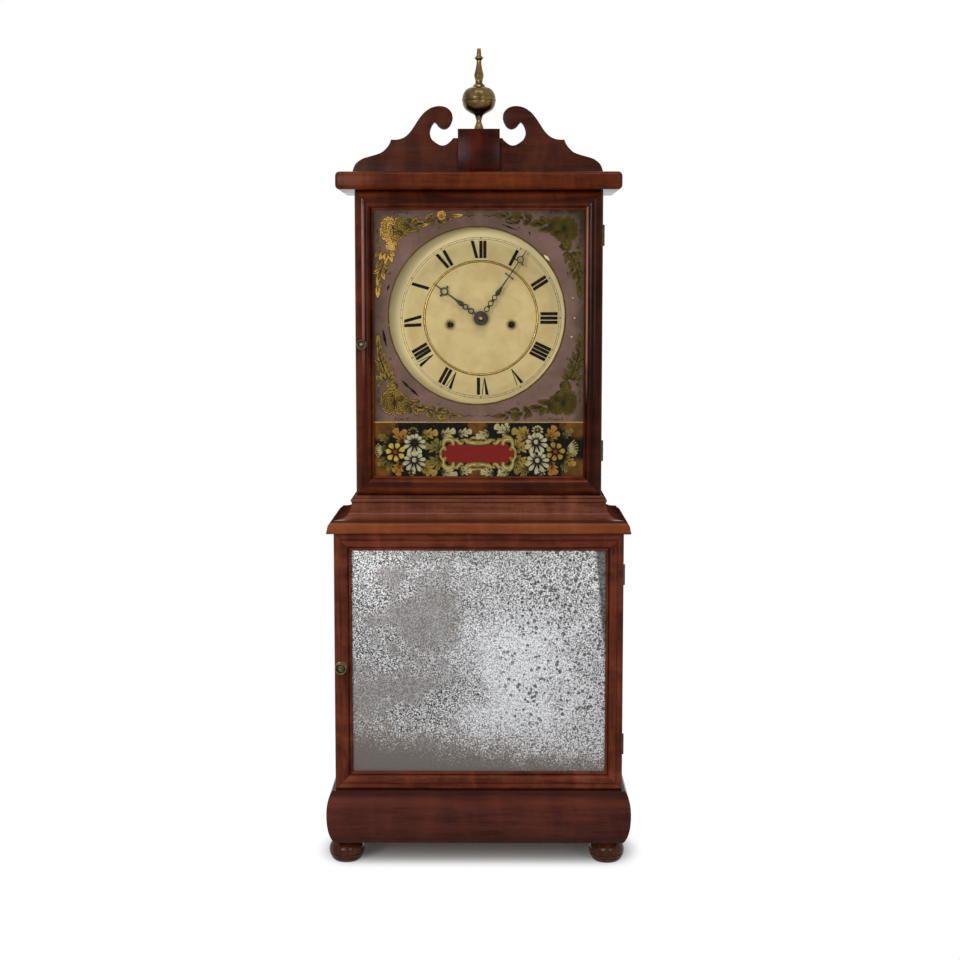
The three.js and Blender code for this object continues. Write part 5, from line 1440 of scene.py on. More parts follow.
def tablet_spot(u, v):
    """A place on the tablet from its drawing grid."""
    return (TABLET_GRID_X * u + TABLET_LEFT, TABLET_TOP - TABLET_GRID_Z * v)


def paint_flowers(art):
    """The leaves, flowers and fans that lie round the cartouche."""
    for u, v, degrees, size, colour in TABLET_LEAVES:
        art.lobed(colour, *tablet_spot(u, v), degrees, size * TABLET_UNIT)
    for u, v, radius, count, start, colour, heart in TABLET_FLOWERS:
        droop, wide = (0.0, 0.62) if heart == "flower_heart" else (0.25, 0.4)
        art.daisy(colour, heart, *tablet_spot(u, v), radius * TABLET_UNIT, count, start, droop, wide)
    for u, v, first, last, far in TABLET_FANS:
        x, z = tablet_spot(u, v)
        for i in range(FAN_LEAVES):
            turn = first + (last - first) * i / (FAN_LEAVES - 1)
            tip = ahead(x, z, turn, far * TABLET_UNIT)
            art.add("leaf_cream", spun(leaf(far * TABLET_UNIT, 9 * TABLET_UNIT), x, z, turn))
            art.add("petal_yellow", disc(*tip, 5 * TABLET_UNIT, 8))


def cartouche_spot(a, b, side, way):
    """A place in one of the quarters of the cartouche."""
    return tablet_spot(CARTOUCHE_U + side * a, CARTOUCHE_V - way * b)


def paint_cartouche(art):
    """The gilt scrolls round the red cartouche, the same in each quarter."""
    scrolls = (
        ([(272, 0), (274, 26), (258, 46), (236, 48)], (16, 24, 12)),
        (scroll(208, 70, 54, -50, 250, 0.4, 8), (16, 36, 20)),
        ([(262, 78), (248, 104), (214, 126), (180, 118)], (6, 22, 14)),
        ([(180, 106), (152, 96), (128, 74), (108, 82)], (14, 26, 10)),
        ([(116, 88), (98, 104), (86, 88), (70, 72)], (8, 22, 10)),
        ([(86, 104), (66, 86), (34, 80), (0, 80)], (22, 28, 30)),
        ([(60, 106), (34, 118), (0, 110)], (8, 18, 16)),
    )
    for side in (-1, 1):
        for way in (-1, 1):
            for points, widths in scrolls:
                line = [cartouche_spot(a, b, side, way) for a, b in curve_through(points, 5)]
                sized = [width * TABLET_UNIT for width in widths]
                art.add("gilt_edge", ribbon(line, [width * 1.5 for width in sized]))
                art.add("scroll_gold", ribbon(line, sized))
                art.add("scroll_light", ribbon(line[3:-3], [width * 0.16 for width in sized]))
            for a, b, radius in CARTOUCHE_BEADS:
                art.add("leaf_gold", disc(*cartouche_spot(a, b, side, way), radius * TABLET_UNIT, 10))


def make_tablet():
    """The lower tablet: leaves, flowers and a red cartouche in gilt scrolls, on a dark ground."""
    art = Painting("tablet")
    paint_flowers(art)
    paint_cartouche(art)
    art.lay(TABLET_PAINT, TABLET_ORDER)
    upper = [cartouche_spot(a, b, side, 1) for side, quarter in (
        (1, CARTOUCHE_QUARTER), (-1, CARTOUCHE_QUARTER[-2::-1])) for a, b in quarter]
    lower = [cartouche_spot(a, b * (1.0 if b < 80 else 0.98), side, -1) for side, quarter in (
        (-1, CARTOUCHE_QUARTER[1:-1]), (1, CARTOUCHE_QUARTER[:0:-1])) for a, b in quarter]
    red = many_slabs("tablet_cartouche", [upper + lower], TABLET_PAINT, TABLET_PAINT + 0.06, "cartouche_red")
    set_down(red, "hood_door")
    half, foot = GLASS_HALF - GROUND_EDGE, GLASS_Z[LOW] + GROUND_EDGE
    for name, low, high, depth, finish in (
        ("tablet_board", foot, TABLET_HEAD, 0.08, "tablet_ground"),
        ("tablet_line", TABLET_HEAD, TABLET_HEAD + TABLET_LINE, 0.19, "gilt_ring"),
    ):
        outline = [(-half, low), (half, low), (half, high), (-half, high)]
        set_down(slab(name, outline, GLASS_BACK - depth, GLASS_BACK, finish), "hood_door")


# Each gilt corner of the mask is drawn on a grid, with its origin at the outer corner
CORNER_RIGHT, CORNER_TOP = 128.05, 789.1
CORNER_GRID_X, CORNER_GRID_Z = 0.0902, 0.09026
MASK_MIDDLE_Z = 651.4
# The leaves, as (u, v, degrees, length, width, tone)
CORNER_LEAVES = (
    (495, 425, 15, 110, 60, "middle"), (520, 380, -25, 110, 56, "middle"),
    (560, 345, 60, 120, 66, "middle"), (590, 350, 20, 130, 70, "middle"),
    (620, 330, -10, 110, 60, "middle"), (560, 400, -15, 90, 50, "dark"), (610, 330, 95, 90, 44, "middle"),
    (700, 330, 175, 70, 34, "dark"), (660, 360, 12, 110, 40, "bright"), (740, 300, 40, 100, 52, "middle"),
    (760, 290, -35, 90, 46, "middle"), (800, 260, 75, 80, 40, "middle"),
    (840, 260, 15, 100, 48, "middle"), (880, 290, -30, 90, 34, "dark"), (990, 260, -15, 90, 34, "middle"),
    (1060, 236, 5, 160, 48, "bright"), (1030, 222, 40, 70, 30, "middle"),
    (900, 330, 10, 110, 30, "middle"), (215, 700, 200, 120, 48, "middle"),
    (200, 690, 235, 130, 62, "bright"), (225, 700, 262, 150, 60, "bright"),
    (250, 700, 290, 140, 56, "bright"), (262, 690, 320, 90, 40, "bright"),
    (150, 650, 150, 70, 40, "middle"), (130, 690, 230, 90, 46, "middle"),
    (190, 790, 250, 80, 40, "middle"), (150, 820, 220, 90, 40, "middle"),
    (130, 930, 205, 100, 46, "bright"), (150, 930, 240, 100, 46, "middle"),
    (190, 900, 300, 90, 40, "middle"), (165, 950, 285, 110, 44, "bright"),
    (120, 990, 262, 150, 48, "bright"), (92, 960, 180, 60, 30, "middle"),
    (110, 1120, 268, 170, 60, "bright"), (128, 1060, 280, 100, 40, "middle"),
)
# The round flowers, as (u, v, radius, tone)
CORNER_ROSES = (
    (118, 880, 40, "middle"), (222, 872, 44, "middle"), (768, 250, 44, "middle"),
    (935, 226, 62, "bright"), (812, 322, 36, "dark"), (520, 300, 40, "dark"), (128, 1010, 30, "middle"),
)
# The flower heads, as (u, v, half width, half height, tilt, strokes, inner and outer share, tone, glint)
CORNER_HEADS = (
    (400, 375, 118, 128, -12, 46, 0.0, 0.95, "middle", "lifted"),
    (245, 400, 104, 156, 8, 60, 0.0, 0.95, "bright", "light"),
    (352, 490, 96, 70, -35, 24, 0.0, 0.95, "middle", "bright"),
    (288, 618, 76, 66, 10, 8, 0.55, 0.96, "bright", "light"),
)
# The whorl in the last head, as (u, v), and its curls as (radius, first degree)
WHORL = (288, 618)
WHORL_CURLS = ((58, 150), (40, 40), (22, 250))
# Fine stalks and squiggles
CORNER_STALKS = (
    [(440, 410), (560, 372), (700, 330), (800, 300), (900, 262), (1000, 242), (1100, 228)],
    [(260, 690), (200, 800), (160, 900), (134, 1000), (110, 1120)],
    [(960, 290), (1000, 300), (1040, 262), (1090, 258)],
    [(1200, 236), (1250, 222), (1290, 240), (1330, 222), (1372, 234)],
    [(365, 200), (380, 172), (410, 192), (430, 170), (455, 196)], [(470, 210), (490, 180), (500, 215)],
    [(90, 425), (112, 410), (100, 450), (118, 475)], [(130, 520), (100, 540), (112, 590)],
    [(880, 392), (905, 380), (915, 405)], [(330, 220), (325, 186), (350, 176)],
    [(250, 980), (275, 960), (262, 1000)],
)
# The corners of a flower head's outline, and the turn from one of its strokes to the next
HEAD_SIDES, GOLDEN_TURN = 60, 2.399963


class Corner:
    """One gilt corner of the mask: full flower heads and sprays along both edges, in its own tones."""

    def __init__(self, art, side, way, tones):
        self.art = art
        self.side = side
        self.way = way
        self.tones = tones

    def at(self, u, v):
        """A place on the mask from the drawing grid, mirrored to this corner."""
        x, z = CORNER_GRID_X * u - CORNER_RIGHT, CORNER_TOP - CORNER_GRID_Z * v
        return (self.side * -x, z if self.way > 0 else 2 * MASK_MIDDLE_Z - z)

    def turn(self, degrees):
        """A direction of the drawing, mirrored to this corner."""
        a = math.radians(degrees)
        return math.degrees(math.atan2(self.way * math.sin(a), -self.side * math.cos(a)))

    def stroke(self, colour, points, width):
        line = [self.at(u, v) for u, v in points]
        self.art.add(colour, ribbon(line, (width * 0.4, width, width * 0.3)))

    def draw_leaf(self, u, v, degrees, length, width, tone_name):
        x, z = self.at(u, v)
        way = self.turn(degrees)
        size, broad = length * CORNER_GRID_X, width * CORNER_GRID_X
        self.art.add("gilt_edge", spun(leaf(size * 1.1, broad * 1.26), x, z, way))
        self.art.add(self.tones[tone_name], spun(leaf(size, broad), x, z, way))
        for lean, start, share in ((0, 0.1, 0.8), (-20, 0.25, 0.4), (20, 0.25, 0.4)):
            foot = ahead(x, z, way, size * start)
            tip = ahead(*foot, way + lean, size * share)
            self.art.add("gilt_shade", ribbon([foot, tip], (0.8, 0.6, 0.2)))

    def draw_head(self, u, v, across, tall, tilt, count, inner_share, outer_share, tone_name, glint):
        """A flower head: a ragged oval filled with curved strokes, every second one with a glint."""
        lean = math.radians(tilt)

        def spot(a, share):
            du, dv = across * share * math.cos(a), tall * share * math.sin(a)
            return (u + du * math.cos(lean) - dv * math.sin(lean),
                    v + du * math.sin(lean) + dv * math.cos(lean))

        turns = [TURN * i / HEAD_SIDES for i in range(HEAD_SIDES)]
        ragged = [1 + 0.06 * math.sin(13 * a) + 0.04 * math.sin(23 * a + 1) for a in turns]
        for colour, size in (("gilt_edge", 1.06), (self.tones[tone_name], 1.0)):
            outline = [self.at(*spot(a, size * rough)) for a, rough in zip(turns, ragged)]
            self.art.add(colour, outline)
        for number in range(count):
            share = inner_share + (outer_share - inner_share) * math.sqrt((number + 0.5) / count)
            a = number * GOLDEN_TURN
            before, mid, after = (
                spot(a - 0.15 / share, share * 0.9), spot(a, share), spot(a + 0.15 / share, share * 0.9))
            self.stroke("gilt_shade", curve_through([before, mid, after], 3), 1.2)
            inner = spot(a, share * 0.9)
            if number % 2:
                between = halfway(inner, mid)
                bent = [inner, (between[0] + 2, between[1]), spot(a, share * 0.97)]
                self.stroke(self.tones[glint], bent, 1.5)
            else:
                self.stroke("gilt_shade", [spot(a + 0.04, share * 0.72), inner], 0.8)

    def draw_whorl(self):
        x, z = self.at(*WHORL)
        for radius, begin in WHORL_CURLS:
            size, start = radius * CORNER_GRID_X, self.turn(begin)
            self.art.add("gilt_shade", ribbon(scroll(x, z, size, start, 260, 0.85, 12), (0.4, 0.9, 0.4)))
            glint = scroll(x, z, size * 0.85, start, 200, 0.85, 12)
            self.art.add(self.tones["light"], ribbon(glint, (0.2, 0.5, 0.2)))

    def draw_rose(self, u, v, radius, tone_name):
        """Six round petals and two curls."""
        x, z = self.at(u, v)
        size = radius * CORNER_GRID_X
        for i in range(6):
            degrees = i * 60 + 15
            self.art.add("gilt_edge", spun(petal(size * 1.12, size * 1.1), x, z, degrees))
            self.art.add(self.tones[tone_name], spun(petal(size, size * 0.95), x, z, degrees))
        for share in (0.7, 0.4):
            curl = scroll(x, z, size * share, 40 + 300 * share, 280, 0.9, 10)
            self.art.add("gilt_shade", ribbon(curl, (0.3, 0.6, 0.3)))

    def draw(self):
        for row in CORNER_LEAVES:
            self.draw_leaf(*row)
        for row in CORNER_HEADS:
            self.draw_head(*row)
        self.draw_whorl()
        for row in CORNER_ROSES:
            self.draw_rose(*row)
        for points in CORNER_STALKS:
            line = [self.at(u, v) for u, v in curve_through(points, 4)]
            self.art.add("gilt_shade", ribbon(line, (0.4, 0.85, 0.3)))


# The round opening of the mask, its sides and the foot of the mask
OPENING_X, OPENING_Z, OPENING_RADIUS = -2.3, 651.6, 103.6
OPENING_SIDES = 120
MASK_FOOT = 526.6
# The four corners, as (side, way up, light, bright, middle and dark tone)
CORNERS = (
    (-1, 1, "gilt_light", "gilt_bright", "gilt_olive", "gilt_dark"),
    (1, 1, "gilt_olive", "gilt_dark", "gilt_dark", "gilt_dark"),
    (-1, -1, "gilt_bright", "gilt_olive", "gilt_olive", "gilt_dark"),
    (1, -1, "gilt_olive", "gilt_dark", "gilt_dark", "gilt_dark"),
)
# Where the mauve is lost: dark flakes as (x, z, degrees, length, width), pale ones as (x, z, radius)
DARK_FLAKES = (
    (-107.6, 681.5, 70, 8, 2.4), (26.5, 758.6, -22, 20, 2.0), (30, 761.6, -18, 12, 1.6),
    (58, 750, -58, 5, 1.8), (-113, 636, -78, 21, 3.4), (-90.5, 576, -46, 14, 3.0),
    (-82, 568, -44, 15, 3.2), (90.5, 560.5, 40, 6, 1.8), (-110, 701, 60, 6, 1.6), (93.4, 734, -50, 3, 1.4),
)
PALE_FLAKES = ((110.1, 672.9, 0.7), (112.2, 649.5, 0.9), (108.9, 627.4, 1.0), (-106, 641, 0.5))
MASK_ORDER = (
    "gilt_edge", "gilt_dark", "gilt_olive", "gilt_bright", "gilt_shade", "gilt_light", "ink_black",
    "flake_white",
)


def opening_ring(radius, waves):
    """A ragged ring round the opening, with waves as (height, count, start)."""
    ring = []
    for i in range(OPENING_SIDES):
        a = TURN * i / OPENING_SIDES
        r = radius + sum(height * math.sin(count * a + start) for height, count, start in waves)
        ring.append((OPENING_X + r * math.cos(a), OPENING_Z + r * math.sin(a)))
    return ring


def make_mask():
    """The mauve mask with its round opening, gilt rim, gilt corners and lost flakes."""
    half, head = GLASS_HALF - GROUND_EDGE, GLASS_Z[HIGH] - GROUND_EDGE
    outline = [(-half, MASK_FOOT), (half, MASK_FOOT), (half, head), (-half, head)]
    opening = opening_ring(OPENING_RADIUS, ((0.28, 23, 1), (0.22, 51, 0), (0.15, 87, 2)))
    sheet = slab("mask_sheet", outline, GLASS_BACK - 0.1, GLASS_BACK, "mask_mauve", [opening])
    set_down(sheet, "hood_door")
    for name, inner, outer, depth, finish in (
        ("mask_rim_dark", -0.3, 1.0, 0.15, "gilt_shade"),
        ("mask_rim_gilt", -0.9, 0.1, 0.2, "gilt_rim"),
    ):
        rims = [opening_ring(OPENING_RADIUS + r, ((0.12, 31, 0),)) for r in (outer, inner)]
        y = GLASS_BACK - depth
        set_down(slab(name, rims[0], y - 0.04, y + 0.02, finish, [rims[1]]), "hood_door")
    art = Painting("corner")
    for side, way, light, bright, middle, dark in CORNERS:
        # The glint on a head of the middle tone has to be brighter than it
        lifted = light if bright == middle else bright
        tones = {"light": light, "lifted": lifted, "bright": bright, "middle": middle, "dark": dark}
        Corner(art, side, way, tones).draw()
    for x, z, degrees, length, width in DARK_FLAKES:
        art.add("ink_black", spun(leaf(length, width, 2), x, z, degrees))
    art.add("flake_white", spun(leaf(9.5, 3.2, 2), 76.2, 722.8, -44))
    for x, z, size in PALE_FLAKES:
        art.add("flake_white", disc(x, z, size, 8))
    art.lay(MASK_PAINT, MASK_ORDER)


# The depth behind the pane that its paint takes up
PAINT_ROOM = 0.8


def make_panes():
    """The clear pane, which leaves room behind it for its paint, and the mirror."""
    pane = piece(
        "hood_pane", *box_data((-GLASS_HALF, GLASS_HALF), (GLASS_FRONT, GLASS_BACK - PAINT_ROOM), GLASS_Z),
        "pane_clear")
    bevelled(pane, 0.3)
    set_down(pane, "hood_door", "hood_door_glass")
    ease_down("lower_door_mirror", "mirror_silver", 0.3)


# Dial and hands


# The widths of a numeral's strokes, at the rim and at the hub
PLAIN, TAPERED, FAINT = (3.9, 3.9), (3.9, 1.2), (1.0, 0.6)
NUMERAL_INNER, NUMERAL_OUTER = 70.5, 91.0
# Each hour's strokes, as (place across at the rim, place across at the hub, widths)
NUMERALS = {
    1: ((-2.2, -1.5, PLAIN),),
    2: ((-4.1, -3.0, PLAIN), (1.0, 2.0, PLAIN)),
    3: ((-5.1, -5.1, PLAIN), (0, 0, PLAIN), (5.0, 5.0, PLAIN)),
    4: ((-8.8, -7.2, PLAIN), (-4.3, -2.9, PLAIN), (0.3, 1.6, PLAIN), (4.9, 6.1, PLAIN)),
    5: ((-4.0, -1.2, TAPERED), (2.5, -1.2, FAINT)),
    6: ((-7.5, -4.3, TAPERED), (-1.4, -4.3, FAINT), (2.8, 2.8, PLAIN)),
    7: ((-10, -6.6, TAPERED), (-4.5, -6.6, FAINT), (-0.6, 0, PLAIN), (4.5, 5.0, PLAIN)),
    8: ((-12.8, -9.2, TAPERED), (-7.5, -9.2, FAINT), (-3.7, -2.9, PLAIN), (0.7, 1.1, PLAIN),
        (5.6, 5.9, PLAIN)),
    9: ((-9.0, -8.0, PLAIN), (-3.9, 1.8, PLAIN)),
    10: ((-5.7, -0.7, PLAIN),),
    11: ((-7.7, -3.5, PLAIN), (1.7, 1.7, PLAIN)),
    12: ((-10.2, -4.7, PLAIN), (0.1, 0.1, PLAIN), (4.7, 4.7, PLAIN)),
}


# The rings of the dial, as (name, radius, width, rise, finish)
DIAL_RINGS = (
    ("dial_gilt_ring", 67.0, 2.0, 0.8, "gilt_ring"),
    ("dial_gilt_edge_out", 68.15, 0.5, 0.12, "gilt_shade"),
    ("dial_gilt_edge_in", 65.85, 0.5, 0.12, "gilt_shade"),
    ("dial_minute_ring_out", 95.1, 0.45, 0.05, "ink_worn"),
    ("dial_minute_ring_in", 92.8, 0.45, 0.05, "ink_worn"),
)
# The dial's feet, from its middle
DIAL_POSTS = ((-48, -52), (48, -52), (-48, 71), (48, 71))
# The radii of its holes, and of the ring of dots and of one dot
HUB_HOLE, WINDING_HOLE = 6.4, 4.3
DOT_RING, DOT_RADIUS = 94, 0.75
# How far the paint of the dial reaches into its plate
PAINT_ROOT = 0.02


def dial_ring(name, middle, width, rise, finish):
    """A raised ring on the dial with a rounded top."""
    section = [(middle + width / 2 * math.cos(math.pi * i / 8), DIAL_FACE - rise * math.sin(math.pi * i / 8))
               for i in range(9)]
    root = DIAL_FACE + PAINT_ROOT
    section += [(middle - width / 2, root), (middle + width / 2, root), section[0]]
    return turned(name, section, 120, finish, (DIAL_X, 0, DIAL_Z), "y", 60)


def make_dial_plate():
    """The dial board with its holes and its four feet."""
    left, right = reach("dial_plate", X, LOW), reach("dial_plate", X, HIGH)
    foot, head = reach("dial_plate", Z, LOW), reach("dial_plate", Z, HIGH)
    square = [(left, foot), (right, foot), (right, head), (left, head)]
    holes = [disc(DIAL_X, DIAL_Z, HUB_HOLE, 40)]
    for side in (-1, 1):
        holes.append(disc(DIAL_X + side * WINDING_X, DIAL_Z - WINDING_DROP, WINDING_HOLE, 32))
    things = [slab("dial_board", square, DIAL_FACE, DIAL_FACE + 1.5, "dial_cream", holes)]
    near, rear = DIAL_FACE + 1.4, reach("dial_plate", Y, HIGH)
    for i, (x, z) in enumerate(DIAL_POSTS):
        things.append(turned(
            f"dial_post_{i}", [(0, near), (2.4, near), (2.4, rear), (0, rear)], 20, "brass_works",
            (DIAL_X + x, 0, DIAL_Z + z), "y"))
    plate = joined("dial_painted", things)
    smooth(plate.data)
    set_down(plate, "case", "dial_plate")


def numeral_shapes():
    """The strokes of the twelve numerals, each standing on the hub's side."""
    shapes = []
    for hour, strokes in NUMERALS.items():
        up = Vector((math.sin(TURN * hour / 12), math.cos(TURN * hour / 12)))
        right = Vector((up.y, -up.x))
        for far, near, (outer_width, inner_width) in strokes:
            corners = []
            for r, across in (
                (NUMERAL_OUTER, far - outer_width / 2), (NUMERAL_OUTER, far + outer_width / 2),
                (NUMERAL_INNER, near + inner_width / 2), (NUMERAL_INNER, near - inner_width / 2),
            ):
                spot = up * r + right * across
                corners.append((DIAL_X + spot.x, DIAL_Z + spot.y))
            shapes.append(corners)
    return shapes


def make_dial():
    """The dial plate, its numerals, its gilt ring and its minute ring."""
    make_dial_plate()
    dots = [disc(DIAL_X + DOT_RING * math.sin(TURN * i / 12), DIAL_Z + DOT_RING * math.cos(TURN * i / 12),
                 DOT_RADIUS, 10) for i in range(12)]
    for name, shapes, rise in (
        ("dial_numerals", numeral_shapes(), 0.06), ("dial_five_minute_dots", dots, 0.09),
    ):
        set_down(many_slabs(name, shapes, DIAL_FACE - rise, DIAL_FACE + PAINT_ROOT, "ink_black"), "case")
    for row in DIAL_RINGS:
        set_down(dial_ring(*row), "case")
    set_down(minute_marks(), "case")


def ring_of_marks():
    """A tree that sets marks round a circle that lies in X and Z."""
    tree = bpy.data.node_groups.new("ring_of_marks", "GeometryNodeTree")
    tree.interface.new_socket(name="Geometry", in_out="OUTPUT", socket_type="NodeSocketGeometry")
    sheet = Sheet(tree)
    for name, kind, value in (
        ("Count", "NodeSocketInt", 60),
        ("Radius", "NodeSocketFloat", 0.0938),
        ("Length", "NodeSocketFloat", 0.0022),
        ("Width", "NodeSocketFloat", 0.0004),
        ("Thickness", "NodeSocketFloat", 0.00008),
        ("Centre", "NodeSocketVector", (0, 0, 0)),
        ("Finish", "NodeSocketMaterial", None),
    ):
        socket = tree.interface.new_socket(name=name, in_out="INPUT", socket_type=kind)
        if value is not None:
            socket.default_value = value
    given = tree.nodes.new("NodeGroupInput")
    take = {out.name: Value(sheet, out) for out in given.outputs if out.name}
    circle = sheet.node("GeometryNodeMeshCircle", {"fill_type": "NONE"}, {
        "Vertices": take["Count"], "Radius": take["Radius"]})
    sizes = {0: take["Length"], 1: take["Width"], 2: take["Thickness"]}
    size = sheet.node("ShaderNodeCombineXYZ", {}, sizes)
    mark = sheet.node("GeometryNodeMeshCube", {}, {"Size": size})
    place = sheet.node("GeometryNodeInputPosition")
    facing = sheet.node("FunctionNodeAlignEulerToVector", {"axis": "X"}, {"Vector": place})
    marks = sheet.node("GeometryNodeInstanceOnPoints", {}, {
        "Points": circle, "Instance": mark, "Rotation": facing})
    upright = sheet.node("GeometryNodeTransform", {}, {
        "Geometry": marks, "Rotation": (math.pi / 2, 0, 0), "Translation": take["Centre"]})
    real = sheet.node("GeometryNodeRealizeInstances", {}, {"Geometry": upright})
    dressed = sheet.node("GeometryNodeSetMaterial", {}, {"Geometry": real, "Material": take["Finish"]})
    leaving = tree.nodes.new("NodeGroupOutput")
    sheet.join(leaving.inputs[0], dressed)
    return tree


def grown(name, tree, values):
    """The plain mesh that a tree makes with the given inputs."""
    carrier = linked(name, bpy.data.meshes.new(name))
    tool = carrier.modifiers.new("grow", "NODES")
    tool.node_group = tree
    sockets = {item.name: item.identifier for item in tree.interface.items_tree if item.in_out == "INPUT"}
    for key, value in values.items():
        tool[sockets[key]] = value
    return settled(carrier)


def minute_marks():
    return grown("dial_minute_marks", ring_of_marks(), {
        "Count": 60, "Radius": 93.8 * MM, "Length": 2.2 * MM, "Width": 0.42 * MM, "Thickness": 0.1 * MM,
        "Centre": (DIAL_X * MM, (DIAL_FACE - PAINT_ROOT) * MM, DIAL_Z * MM), "Finish": finishes["ink_worn"],
    })


# How far in front of the dial the hands' solids are cut, and how far the new pipes reach past the cut
PIPE_CUT, PIPE_LAP = 1.0, 0.01


def behind_dial(node, finish):
    """What a hand's solid holds behind the dial: its pipe and its wheel."""
    thing = eased(node, finish)
    work = bmesh.new()
    work.from_mesh(thing.data)
    bmesh.ops.bisect_plane(
        work, geom=work.verts[:] + work.edges[:] + work.faces[:],
        plane_co=(0, (DIAL_FACE - PIPE_CUT) * MM, 0), plane_no=(0, 1, 0), clear_inner=True)
    bmesh.ops.holes_fill(work, edges=[e for e in work.edges if e.is_boundary], sides=0)
    bmesh.ops.recalc_face_normals(work, faces=work.faces)
    work.to_mesh(thing.data)
    work.free()
    smooth(thing.data)
    return thing


# The thickness of a hand, and the count of the dots round its hub
HAND_THICK, HUB_DOTS = 1.2, 8


def hand_piece(name, parts, hub, y, bore, degrees, pipe):
    """A pierced hand: its parts stand up from its hub and are then turned by degrees, clockwise."""
    things = []
    a = -math.radians(degrees)

    def turn(points):
        return [(DIAL_X + x * math.cos(a) - z * math.sin(a), DIAL_Z + x * math.sin(a) + z * math.cos(a))
                for x, z in points]

    for number, (kind, *facts) in enumerate(parts):
        nudge = 0.02 * (number % 4)
        layer = (y + nudge, y + HAND_THICK - nudge, "hand_black")
        if kind == "ring":
            rise, outer, inner = facts
            hole = turn(disc(0, rise, inner, 28))
            things.append(slab(f"{name}_{number}", turn(disc(0, rise, outer, 28)), *layer, [hole]))
        else:
            shape = facts[0]
            if kind == "dart":
                shape = shape + [(-x, z) for x, z in reversed(shape)]
            part = slab(f"{name}_{number}", turn(shape), *layer)
            bevelled(part, 0.12, 1, 50)
            things.append(part)
    hub_hole = turn(disc(0, 0, bore, 32))
    things.append(slab(
        name + "_hub", turn(disc(0, 0, hub, 40)), y - 0.2, y + 1.3, "hand_black", [hub_hole]))
    for i in range(HUB_DOTS):
        (x, z), = turn([ahead(0, 0, i * 360 / HUB_DOTS, hub * 0.66)])
        things.append(turned(
            f"{name}_boss_{i}", [(0, y - 0.45), (0.8, y - 0.35), (1.0, y - 0.1), (0, y - 0.1)], 10,
            "hand_black", (x, 0, z), "y"))
    rear = DIAL_FACE - PIPE_CUT + PIPE_LAP
    tube = [(bore, y - 0.6), (bore + 1.0, y - 0.6), (pipe, y - 0.2), (pipe, rear), (bore, rear),
            (bore, y - 0.6)]
    things.append(turned(name + "_pipe", tube, 28, "hand_black", (DIAL_X, 0, DIAL_Z), "y"))
    return things


# The cap of the pin, as (radius, depth behind its tip), and how far it stands before the minute hand
CAP_PROFILE = (
    (0, 0), (1.1, 0.05), (1.8, 0.4), (2.0, 0.9), (3.6, 1.1), (4.2, 1.5), (4.2, 1.85), (0, 1.85),
)
CAP_RISE = 2.0
# The parts of the hands, upright and from the hub: a ring as (rise, outer, inner radius), a dart as its
# right side, and a flat as its outline
HOUR_PARTS = (
    ("ring", 14.3, 3.7, 2.0), ("ring", 22.6, 3.6, 2.0),
    ("flat", [(-1.3, 9.0), (1.3, 9.0), (1.3, 11.6), (-1.3, 11.6)]),
    ("flat", [(-1.2, 17.4), (1.2, 17.4), (1.2, 19.6), (-1.2, 19.6)]),
    ("dart", [(1.5, 25.5), (3.0, 28.4), (2.4, 31.5), (1.1, 36), (0.75, 48.6)]),
    ("ring", 53.4, 4.9, 3.2), ("dart", [(0.95, 57.6), (0.8, 60), (0.35, 70)]),
    ("flat", spun(leaf(3.4, 2.4), 4.4, 53.4, 8)), ("flat", spun(leaf(3.4, 2.4), -4.4, 53.4, 172)),
    ("flat", disc(6.9, 54.2, 0.9, 12)), ("flat", disc(-6.9, 54.2, 0.9, 12)),
)
MINUTE_PARTS = (
    ("ring", 12.6, 3.5, 2.2), ("ring", 20.9, 3.5, 2.2), ("ring", 29.2, 3.3, 2.1),
    ("flat", disc(0, 16.7, 2.0, 14)), ("flat", disc(0, 25.1, 2.0, 14)),
    ("flat", [(-1.2, 15.2), (1.2, 15.2), (1.2, 18.0), (-1.2, 18.0)]),
    ("flat", [(-1.2, 23.6), (1.2, 23.6), (1.2, 26.4), (-1.2, 26.4)]),
    ("dart", [(1.4, 31.8), (3.0, 35.4), (2.3, 39), (1.0, 45), (0.65, 60)]),
    ("dart", [(0.65, 59), (0.6, 78.6)]),
    ("flat", [(-4.6, 58.9), (4.6, 58.9), (4.6, 60.3), (-4.6, 60.3)]),
    ("flat", disc(4.9, 59.2, 1.2, 12)), ("flat", disc(-4.9, 60.0, 1.2, 12)),
    ("ring", 82.8, 4.3, 2.9), ("dart", [(0.9, 86.6), (0.75, 89), (0.3, 96.5)]),
    ("flat", spun(leaf(4.6, 2.0), 3.6, 81, -38)), ("flat", spun(leaf(4.6, 2.0), -3.6, 81, 218)),
)


def make_hands():
    """The two pierced hands and the cap of the pin that holds them."""
    for node, parts, hub, y, bore, degrees, pipe, body in (
        ("hour_hand", HOUR_PARTS, 8.4, HOUR_FACE, 3.2, -54.0, 4.5, "hour_hand"),
        ("minute_hand", MINUTE_PARTS, 7.6, MINUTE_FACE, 2.1, 34.2, 2.9, "centre_arbor"),
    ):
        things = hand_piece(node, parts, hub, y, bore, degrees, pipe)
        things.append(behind_dial(node, "brass_works"))
        whole = joined(node + "_pierced", things)
        smooth(whole.data)
        set_down(whole, body, node)
    tip = MINUTE_FACE - CAP_RISE
    profile = [(r, tip + rise) for r, rise in CAP_PROFILE]
    pin = turned("centre_pin_cap", profile, 28, "hinge_dark", (DIAL_X, 0, DIAL_Z), "y")
    set_down(pin, "centre_arbor")


# Works


# How far behind the dial's face a great wheel's winding square is near-black, as painted shade in its
# winding hole
DARK_DEPTH = 4


